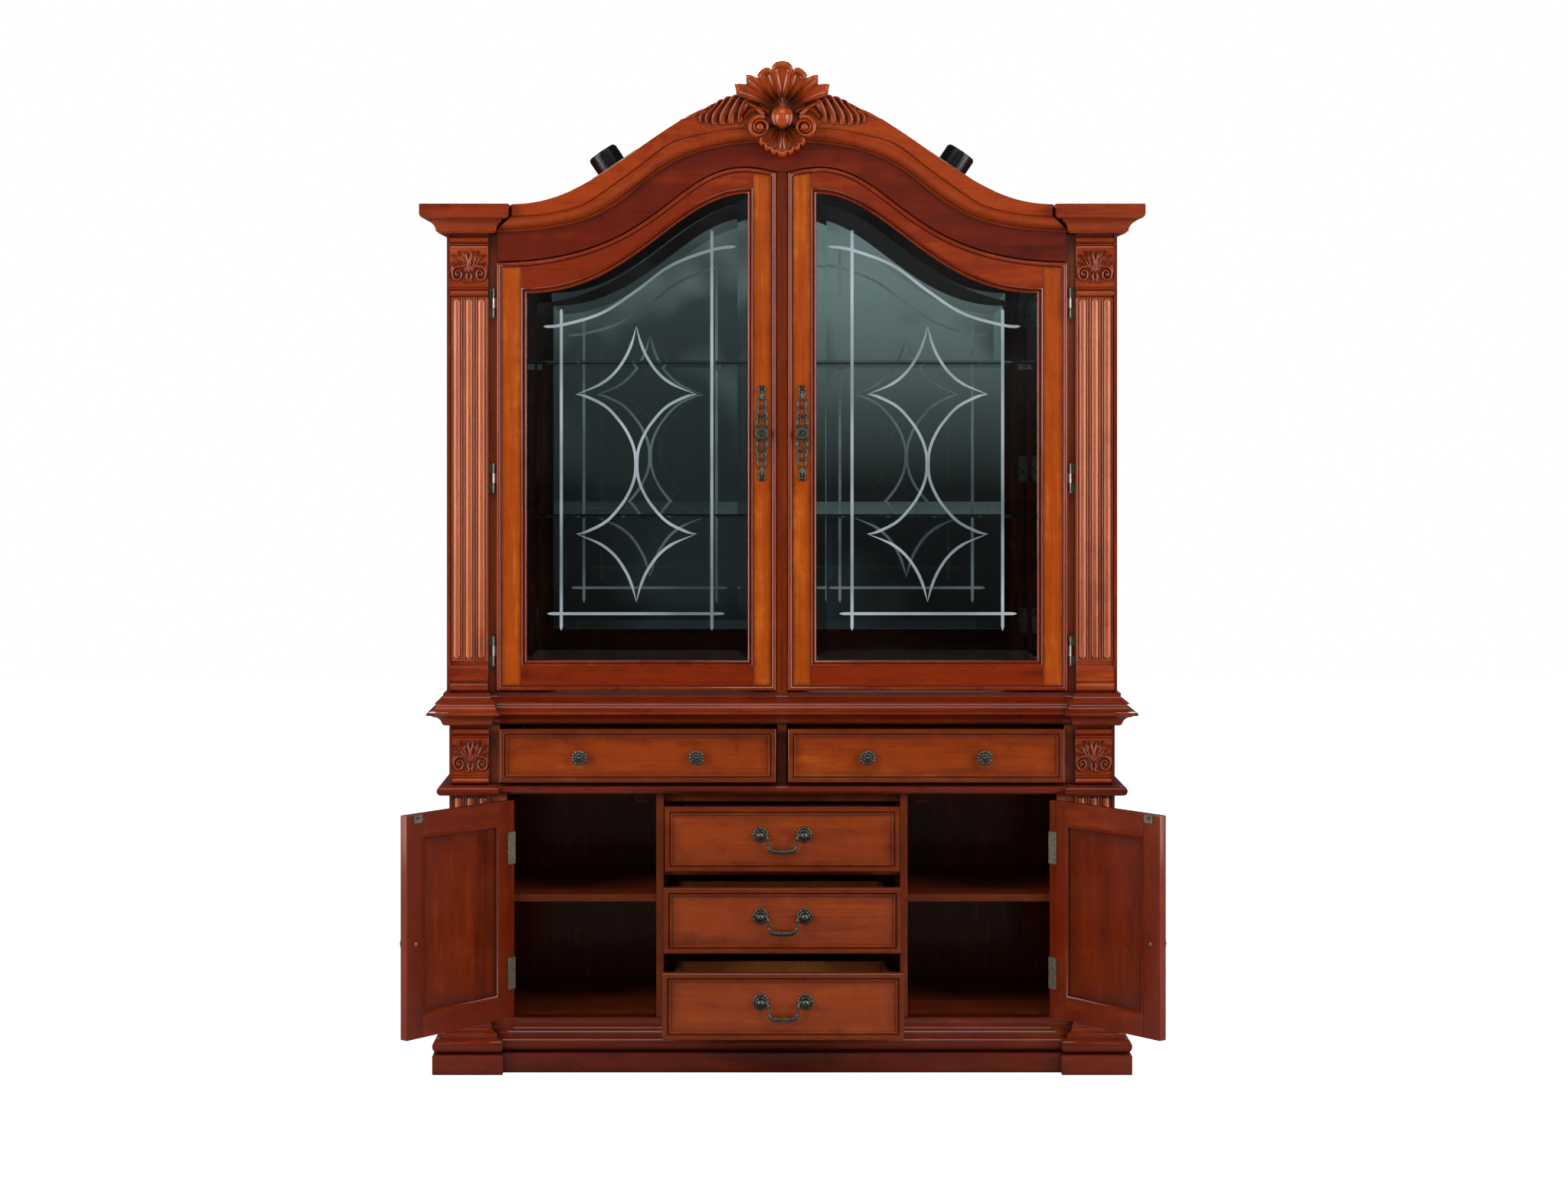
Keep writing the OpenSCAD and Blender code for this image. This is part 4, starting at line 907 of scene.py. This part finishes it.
cuts = Shape()
for x, top in ((-488, 1682), (-155, 1853)):
    lancet(cuts, [(x, 970), (x, 1100), (x, top - 80), (x, top)], 3.4, 0.045)
lancet(cuts, [(-520, 1008), (-320, 1008), (-126, 1008)], 3.2, 0.035)
lancet(cuts, [(-528, 1643), (-488, 1646), (-400, 1672), (-322, 1722), (-245, 1778), (-155, 1812), (-100, 1820)],
       3.2, 0.05, 60)
STAR = (-322, 1338.6)
point_line = [(0, 305), (9.5, 269), (24, 236), (48, 202), (81, 176), (134, 154)]
waist_line = [(134, 154), (112, 150), (67, 127), (33, 90), (14, 58), (4, 29), (1.6, 0)]
waist_line += [(x, -z) for x, z in reversed(waist_line[:-1])]
for k in (-1, 1):
    for line, taper in ((point_line, 0.22), ([(x, -z) for x, z in point_line], 0.22), (waist_line, 0.09)):
        lancet(cuts, [(STAR[0] + k * x, STAR[1] + z) for x, z in line], 3.1, taper, 60)


# ---- Metal fittings ----
def rosette(shape, cx, cz, y, r, stem):
    """Cast flower knob of radius r on a stem from a face at y."""
    k = y - stem
    foot = [(0.62, y + 0.5), (0.62, y - 1), (0.5, y - 2.4), (0.34, y - 4), (0.29, k), (0.3, k - 1)]
    outer = [(0.3, k + 0.6), (0.72, k - 0.4), (0.96, k - 2.0), (1, k - 3.4), (0.97, k - 4.8), (0.84, k - 5.8),
             (0.7, k - 5.6), (0.6, k - 4.6)]
    inner = [(0.62, k - 3.0), (0.6, k - 5.6), (0.54, k - 7.0), (0.44, k - 7.6), (0.36, k - 7.0), (0.33, k - 6)]
    shape.revolve(cx, cz, [(r * q, h) for q, h in foot], 28)
    shape.revolve(cx, cz, [(r * q, h) for q, h in outer], 144, 12, 0.10, 0.9, (r * 0.7, r * 1.1))
    shape.revolve(cx, cz, [(r * q, h) for q, h in inner], 60, 10, 0.09, 0.8, (r * 0.4, r * 0.7))
    shape.dome(cx, cz, r * 0.29, r * 0.29, k - 6, 4.6, 24, 6)
    for j in range(8):
        a = math.pi / 4 * j + 0.3
        shape.dome(cx + r * 0.4 * math.cos(a), cz + r * 0.4 * math.sin(a), r * 0.07, r * 0.07, k - 6.4, 1.6,
                   10, 3)


def escutcheon(cx, cz, y):
    """Pierced plate of rings, scrolls, beads and leaves above and below a rosette."""
    s = Shape()
    scrolls = ((((3.5, 13), (11.5, 17), (12.4, 26), (7.5, 33), (4.0, 29), (6.5, 25.5)), 22, 2.0, 0.7, 1.8, 10),
               (((9.5, 35), (11.2, 42), (8.6, 50), (5.4, 47)), 14, 1.7, 0.5, 1.6, 8),
               (((8.4, 56), (10.2, 63), (7.4, 73), (4.0, 78)), 14, 1.7, 0.4, 1.6, 8))
    for k in (-1, 1):
        for dist, hw, hh in ((66.5, 8.6, 9.8), (48.5, 8.8, 10.2), (26.5, 10.2, 12.5)):
            loop = [(cx + hw * math.cos(math.radians(a)), cz + k * (dist + hh * math.sin(math.radians(a))))
                    for a in range(-90, 271, 15)]
            s.tube(loop, 1.9, y - 1.6, 10)
        for dist, hw in ((57.5, 9.0), (38, 9.6), (76, 7.4)):
            for j in (-1, 1):
                s.dome(cx + j * hw, cz + k * dist, 2.3, 2.3, y, 3.2, 14, 4)
        for dist in (57.5, 37.5, 16):
            s.dome(cx, cz + k * dist, 3.4, 2.8, y, 3.6, 16, 4)
        for j in (-1, 1):
            for line, steps, thick, thinner, out, sides in scrolls:
                s.tube([(cx + j * q, cz + k * h) for q, h in spline(line, steps)],
                       lambda t, a=thick, b=thinner: a - b * t, y - out, sides)
            s.leaf([(cx + j * 1.5, cz + k * 76), (cx + j * 4.5, cz + k * 84), (cx + j * 7.0, cz + k * 92)],
                   lambda t: 0.8 + 2.0 * math.sin(math.pi * t), lambda _t: 3.2, ROUND, lambda _x, _z: y, 10)
            finial = spline([(1.2, 90), (6.2, 94), (6.4, 101), (1.6, 104.6)], 14)
            s.tube([(cx + j * q, cz + k * h) for q, h in finial], 1.8, y - 1.7, 10)
        s.leaf([(cx, cz + k * 75), (cx, cz + k * 85), (cx, cz + k * 94)],
               lambda t: 1.0 + 2.2 * math.sin(math.pi * t), lambda _t: 3.6, ROUND, lambda _x, _z: y, 10)
        s.dome(cx, cz + k * 99, 3.6, 3.6, y, 4.4, 18, 5)
    collar = [(15, y + 0.2), (15, y - 1.2), (13.6, y - 2.6), (11, y - 3), (10, y - 2)]
    s.revolve(cx, cz, collar, 72, 12, 0.08, 0.4, (13, 16))
    rosette(s, cx, cz, y - 1, 13.5, 8.0)
    return s


def drawn_for(side):
    """Turns a shape drawn for the left side into the one for this side."""
    return (lambda s: s) if side == "left" else Shape.flipped


handle = escutcheon(-44.5, 1407, FLAT_Y)

for side in ("left", "right"):
    turn = drawn_for(side)
    body = f"glass_door_{side}"
    # The stiles carry painted shade along their edges, beside the nose
    stile_wood = wood("z", "stile", edge_shade=(0.043, 1.1, 0.013))
    for stile_name, stile in stiles.items():
        piece(f"{body}_{stile_name}", turn(stile), body, stile_wood,
              [f"{body}_frame"] if stile_name == "hinge_stile" else [])
    piece(f"{body}_rails", turn(rails), body, wood("x", "rail"))
    piece(f"{body}_nose", turn(nose), body, wood("z", "rail", 0.22))
    piece(f"{body}_glazing_bead", turn(bead), body, wood("z", "rail", 0.22))
    piece(f"{body}_glass", turn(pane), body, door_glass, [f"{body}_pane"], angle=4)
    piece(f"{body}_cut_lines", turn(cuts), body, frost_mat)
    piece(f"{body}_escutcheon", turn(handle), body, aged_metal, [f"{body}_handle"], angle=60)

# ---- Drawers ----
FRONT_T, FIELD_Y, BOX_GAP = 20, 5.9, 20.2  # front's thickness, depth of its field, start of the box
BOX_SIDE, BOX_LONG, BOX_HIGH = 12, 400, 95
POST_X, BAIL_Z = 48, 81
FRONT_STEPS = [(0, 3.5), (0.6, 1.4), (2.0, 0.3), (4.0, 0), (8.0, 0), (9.4, 0.4), (10.4, 1.6), (10.9, 3.6),
               (11.8, 4.4), (12.7, 3.6), (13.8, 2.2), (15.2, 1.8), (16.6, 2.4), (17.5, 4.2), (18.0, 5.7),
               (19.2, 6.0), (20.4, 6.0)]


def drawer_front(x, y, z):
    """Front with a rounded edge, a bead and a sunk field."""
    return Shape().frame_panel(x, z, y + FRONT_T, [(d, y + h) for d, h in FRONT_STEPS])


def drawer_box(x, y, z):
    """Sides, ends and floor of a drawer, with rounded top edges."""
    s = Shape()
    top, back = z + BOX_HIGH, y + BOX_LONG
    ends = (x[0] + BOX_SIDE + 0.1, x[1] - BOX_SIDE - 0.1)
    for a in ((x[0], x[0] + BOX_SIDE), (x[1] - BOX_SIDE, x[1])):
        s.board(a, (y, back), (z, top), 2.5)
    s.board(ends, (y, y + BOX_SIDE), (z, top - 2), 2.0)
    s.board(ends, (back - BOX_SIDE, back), (z + 6, top - 2), 2.0)
    s.board((x[0] + 8, x[1] - 8), (y + 8, back - 4), (z + 2, z + 8), 0.6)
    return s


def bail_posts(y, z):
    """Two posts with heads, each on a double flower plate with a ring of beads."""
    s = Shape()
    plate = [(17.2, 0), (17.4, 1.4), (16.4, 2.8), (14.4, 3.4), (12.6, 2.8), (11.6, 2.4)]
    flower = [(11.8, 1.5), (11.4, 3.8), (9.4, 4.8), (7.6, 4.2), (7.0, 3.2)]
    post = [(6.6, 2), (5.2, 6), (4.6, 9), (5.0, 11), (7.0, 12.6), (8.0, 15), (7.8, 17.6), (6.4, 20),
            (3.6, 21.6), (0.6, 22)]
    for x in (-POST_X, POST_X):
        s.revolve(x, z, [(r, y - h) for r, h in plate], 96, 12, 0.07, 0.5, (14, 18))
        s.revolve(x, z, [(r, y - h) for r, h in flower], 72, 10, 0.08, 0.4, (9, 12))
        s.revolve(x, z, [(r, y - h) for r, h in post], 36)
        for c, d in circle(10):
            s.dome(x + 14.3 * c, z + 14.3 * d, 1.5, 1.5, y - 2.6, 1.9, 10, 3)
    return s


def bail(y, z):
    """Swinging handle with curled shoulders and a turned grip."""
    path = spline(both([(-40.5, 0), (-38.4, 1.0), (-34.6, -1.6), (-32.4, -7.5), (-31.8, -14), (-31.4, -21),
                        (-28.8, -28.5), (-22.5, -33.8), (-13, -35.4), (0, -35.6)]), 110)
    # (height, place, reach) of each turned ring, counted from the middle
    turnings = ((1.0, 0.31, 0.018), (0.9, 0.37, 0.016), (1.1, 0.66, 0.035), (0.5, 0.9, 0.05))

    def radius(t):
        d = abs(t - 0.5) * 2
        rings = sum(h * math.exp(-(((d - place) / reach) ** 2)) for h, place, reach in turnings)
        return 2.8 + 2.4 * smooth((0.34 - d) / 0.12) + rings
    s = Shape().tube(path, radius, y, 14)
    for k in (-1, 1):
        s.dome(k * 30.6, -19, 3.6, 2.8, y, 4.0, 16, 4)
        s.rings([[(k * a, y + 2 * c, 2 * d) for c, d in circle(14)] for a in (39, 43.5)])
    return s.raised(z)


def drawer(body, front, box, metal_parts, metal_node, reach):
    """Pieces of one drawer; reach is how far in from its edge the front carries painted shade, in metres."""
    xs, zs = [v[0] for v in front.v], [v[2] for v in front.v]
    edge_shade = (round((max(xs) - min(xs)) * MM, 4), round((max(zs) - min(zs)) * MM, 4), reach)
    piece(f"{body}_board", front, body, wood("x", "field", edge_shade=edge_shade), [f"{body}_front"], 28)
    piece(f"{body}_sides", box, body, wood("y", "drawer", 0.5, 0.6), [f"{body}_box"])
    piece(f"{body}_rosettes", metal_parts, body, aged_metal, [f"{body}_{metal_node}"], 60)


for side in ("left", "right"):
    turn = drawn_for(side)
    y = FRAME_Y - PULL_FRIEZE
    knobs = Shape()
    for x in (-188, -446):
        rosette(knobs, x, FRIEZE_Z + FRIEZE_H / 2 - 3, y + FIELD_Y, 17.2, 11)
    drawer(f"frieze_drawer_{side}", turn(drawer_front((-622, -13), y, (FRIEZE_Z, FRIEZE_Z + FRIEZE_H))),
           turn(drawer_box((-606, -25), y + BOX_GAP, FRIEZE_Z - 1.5)), turn(knobs), "knobs", 0.055)

for level, pull in PULLS.items():
    body = f"centre_drawer_{level}"
    y, z = FRAME_Y - pull, DRAWER_Z[level]
    drawer(body, drawer_front((-257.5, 257.5), y, (z, z + FRONT_H)),
           drawer_box((-240, 240), y + BOX_GAP, z - 2.5), bail_posts(y + FIELD_Y, z + BAIL_Z), "posts", 0.06)
    piece(f"{body}_handle", bail(y - 9, z + BAIL_Z), f"bail_{level}", aged_metal,
          [f"{body}_bail"], 60)

# ---- Lower doors, made closed and then turned to where they stand open ----
LEFT, RIGHT, LOW, HIGH = -605, -280, 120, 598
RAIL, STICK_W, PANEL_IN = 55, 8, 48  # frame's width, its moulded edge, and where the panel starts
KNOB_X, KNOB_Z = -307, 322
FRAME = RAIL - STICK_W
STICK = [(0.0, -209.5), (0.0, -210.8), (-1.2, -212.0), (-2.6, -212.2), (-3.6, -213.6), (-5.6, -214.6),
         (-8.0, -214.9), (-8.0, -195.1), (-5.0, -195.2), (-2.0, -196.0), (0.0, -198.6), (0.0, -200.4)]
low_stiles = Shape()
for x in ((LEFT, LEFT + FRAME), (RIGHT - FRAME, RIGHT)):
    low_stiles.board(x, (-215, -195), (LOW, HIGH), 1.4)
low_rails = Shape()
for z in ((LOW, LOW + FRAME), (HIGH - FRAME, HIGH)):
    low_rails.board((LEFT + FRAME, RIGHT - FRAME), (-214.8, -195.2), z, 0.7)
sticking = Shape().sweep([(LEFT + RAIL, LOW + RAIL), (RIGHT - RAIL, LOW + RAIL), (RIGHT - RAIL, HIGH - RAIL),
                          (LEFT + RAIL, HIGH - RAIL)], STICK)
panel = Shape().frame_panel((LEFT + PANEL_IN, RIGHT - PANEL_IN), (LOW + PANEL_IN, HIGH - PANEL_IN), -201.5,
                            [(0, -205), (0.4, -206.2), (10, -207.6), (30, -212.4), (31.5, -213.6),
                             (33, -213.8)])
low_knob = Shape()
rosette(low_knob, KNOB_X, KNOB_Z, -215.2, 16.6, 9)


def screws(points, y, r):
    """Countersunk screw heads with a slot, facing along +Y."""
    s = Shape()
    for i, (x, z) in enumerate(points):
        s.revolve(x, z, [(r, y - 0.6), (r, y + 0.3), (r * 0.8, y + 0.7), (r * 0.3, y + 0.8)], 20)
        dx, dz = math.cos(0.5 + i * 1.1), math.sin(0.5 + i * 1.1)
        slot = ((-0.45, y + 0.3), (0.45, y + 0.3), (0.45, y + 0.98), (-0.45, y + 0.98))
        s.rings([[(x + dx * q - dz * w, h, z + dz * q + dx * w) for w, h in slot]
                 for q in (-r * 0.78, r * 0.78)])
    return s


back_metal = Shape().revolve(KNOB_X, KNOB_Z, [(4.4, -196), (4.4, -194.6), (3.6, -193.9), (0.4, -193.6)], 24)
back_metal.plus(screws([(-593, z + d) for z in (183, 459) for d in (12, 58)], -193.4, 3.3))


def standing_open(side):
    """Matrix that turns a closed lower door to where it stands open."""
    s = 1 if side == "left" else -1
    hinge = Vector((HINGE.x * s, HINGE.y, 0)) * MM
    return (Matrix.Translation(hinge) @ Matrix.Rotation(math.radians(-DOOR_OPEN * s), 4, "Z")
            @ Matrix.Translation(-hinge))


for side in ("left", "right"):
    turn, m = drawn_for(side), standing_open(side)
    body = f"base_door_{side}"
    piece(f"{body}_stiles", turn(low_stiles), body, wood("z", "cupboard"), [f"{body}_frame"], at=m)
    piece(f"{body}_rails", turn(low_rails), body, wood("x", "cupboard"), at=m)
    piece(f"{body}_sticking", turn(sticking), body, wood("z", "cupboard"), at=m)
    # The panel carries painted shade towards its edges
    piece(f"{body}_field", turn(panel), body, wood("z", "cupboard", edge_shade=(0.229, 0.382, 0.06)),
          [f"{body}_panel"], 28, at=m)
    piece(f"{body}_rosette", turn(low_knob), body, aged_metal, [f"{body}_knob"], 60, at=m)
    piece(f"{body}_screws", turn(back_metal), body, grey_hinge, at=m)

# ---- Glass shelves and light cans ----
SHELF_TOPS, SHELF_T = (1226, 1568), 8
shelves = Shape()
for z in SHELF_TOPS:
    shelves.board((-718, 718), (-169, 221), (z - SHELF_T, z), 1.2)
piece("glass_shelf_boards", shelves, "case", shelf_glass, ["glass_shelves"])

# Foot of the left can on the roof, in mm, leaning outwards
CAN = Matrix.Translation(Vector((-378, -145, 2000.8))) @ Matrix.Rotation(math.radians(-34), 4, "Y")
can_profile = [(27, -20), (27, 0), (35.2, 0.3), (36, 1.2), (36, 4.2), (35.3, 4.8), (35.3, 5.6), (36, 6.2),
               (36, 36.2), (35.4, 37.6), (34.4, 38.2), (33.8, 39.2), (33.8, 40.2), (33.0, 41), (31, 41),
               (30.2, 39.8), (29, 39.4), (0.5, 39.4)]
cans = Shape()
for k in (-1, 1):
    placed = Matrix.Diagonal((k, 1, 1, 1)) @ CAN
    cans.rings([[tuple(placed @ Vector((r * c, r * d, h))) for c, d in circle(64)] for r, h in can_profile])
piece("light_can_shells", cans, "case", black_mat, ["light_cans"])


# ---- Floor, light and camera, in metres ----
def stage_plane(name, corners, material):
    """Flat backdrop that isn't part of the object."""
    mesh = bpy.data.meshes.new(name)
    mesh.from_pydata(corners, [], [list(range(len(corners)))])
    obj = bpy.data.objects.new(name, mesh)
    bpy.context.scene.collection.objects.link(obj)
    mesh.materials.append(material)
    return obj


def pale_floor():
    """Floor that is white to the camera and grey to all other rays."""
    t = Tree("studio_floor")
    grain = t.noise(t.coords((1, 1, 1)), 3, 3)
    seen = t.node("ShaderNodeLightPath").outputs["Is Camera Ray"]
    bounced, shown = t.ramp(grain, [(0.3, 0.34), (0.7, 0.38)]), t.ramp(grain, [(0.3, 0.93), (0.7, 0.96)])
    colour = t.mix(seen, bounced, shown)
    t.shader.inputs["Specular IOR Level"].default_value = 0.0
    return t.finish(Base_Color=colour, Roughness=1.0, Emission_Color=(1, 1, 1, 1),
                    Emission_Strength=t.math("MULTIPLY", seen, 0.93))


ROOM_HALF, FLOOR_FRONT, FLOOR_BACK, UNDER = 9, -7.4, 9, -0.0005
stage_plane("studio_floor", [(-ROOM_HALF, FLOOR_FRONT, UNDER), (ROOM_HALF, FLOOR_FRONT, UNDER),
                             (ROOM_HALF, FLOOR_BACK, UNDER), (-ROOM_HALF, FLOOR_BACK, UNDER)], pale_floor())


def studio_dark():
    """Dim room behind the camera, seen only in the mirror and in the gloss."""
    t = Tree("studio_room")
    where = t.node("ShaderNodeTexCoord").outputs["Object"]
    height = t.node("ShaderNodeSeparateXYZ", {0: where}).outputs[2]
    level = t.ramp(t.math("MULTIPLY", height, 0.2), [
        (0.0, srgb(12, 13, 13)), (0.20, srgb(24, 26, 27)), (0.28, srgb(66, 74, 75)),
        (0.42, srgb(120, 134, 135)), (0.75, srgb(92, 104, 105))])
    blotch = t.noise(where, 0.7, 3, 0.6)
    colour = t.mix(t.ramp(blotch, [(0.42, 0.85), (0.52, 0.0)]), level, srgb(38, 44, 46))
    t.shader.inputs["Base Color"].default_value = (0, 0, 0, 1)
    return t.finish(Emission_Color=colour, Emission_Strength=1.0, Roughness=1.0)


ROOM_Y, ROOM_HIGH = -8.2, 5.5
room = stage_plane("studio_room", [(-ROOM_HALF, ROOM_Y, 0), (ROOM_HALF, ROOM_Y, 0),
                                   (ROOM_HALF, ROOM_Y, ROOM_HIGH), (-ROOM_HALF, ROOM_Y, ROOM_HIGH)],
                   studio_dark())
room.visible_camera = room.visible_diffuse = room.visible_shadow = False


def area(name, place, target, size, power, colour=(1, 1, 1)):
    """Rectangular light of size (width, height) that faces a target, its power in watts."""
    light = bpy.data.lights.new(name, "AREA")
    light.shape, light.size, light.size_y = "RECTANGLE", size[0], size[1]
    light.energy, light.color = power, colour
    obj = bpy.data.objects.new(name, light)
    obj.location = place
    obj.rotation_euler = (Vector(target) - Vector(place)).to_track_quat("-Z", "Y").to_euler()
    bpy.context.scene.collection.objects.link(obj)


for side, k in (("left", -1), ("right", 1)):
    area(f"softbox_{side}", (3.6 * k, -3.4, 2.1), (0, 0, 1.1), (1.1, 2.6), 66)
for side, k in (("left", -1), ("right", 1)):
    area(f"strip_{side}", (2.5 * k, -1.1, 1.5), (0.4 * k, -0.2, 1.3), (1.3, 2.6), 33, (1, 0.97, 0.94))
area("softbox_top", (0, -3.0, 4.6), (0, 0, 1.2), (3.2, 1.4), 38)
area("softbox_back", (0, 3.2, 3.4), (0, 0, 1.2), (3.0, 1.4), 75)

world = bpy.data.worlds.new("studio")
bpy.context.scene.world = world
world.use_nodes = True
nodes, links = world.node_tree.nodes, world.node_tree.links
nodes.clear()
sky = nodes.new("ShaderNodeOutputWorld")
ray = nodes.new("ShaderNodeLightPath")
last = None
# Strength for rays in general, then for those of one kind
for strength, kind in ((0.11, None), (0.035, "Is Glossy Ray"), (1.0, "Is Camera Ray")):
    level = nodes.new("ShaderNodeBackground")
    level.inputs[0].default_value, level.inputs[1].default_value = (1, 1, 1, 1), strength
    if kind:
        pick = nodes.new("ShaderNodeMixShader")
        links.new(ray.outputs[kind], pick.inputs[0])
        links.new(last, pick.inputs[1])
        links.new(level.outputs[0], pick.inputs[2])
        last = pick.outputs[0]
    else:
        last = level.outputs[0]
links.new(last, sky.inputs["Surface"])

camera = bpy.data.cameras.new("camera")
camera.sensor_fit, camera.sensor_width, camera.lens = "HORIZONTAL", 36, 67.7
camera.shift_x, camera.shift_y = 0.0215, -0.1218
camera.clip_end = 60
eye = bpy.data.objects.new("camera", camera)
eye.location, eye.rotation_euler = (-0.07, -6.74, 1.486), (math.pi / 2, 0, 0)
bpy.context.scene.collection.objects.link(eye)
bpy.context.scene.camera = eye
bpy.context.scene.view_settings.view_transform = "Standard"
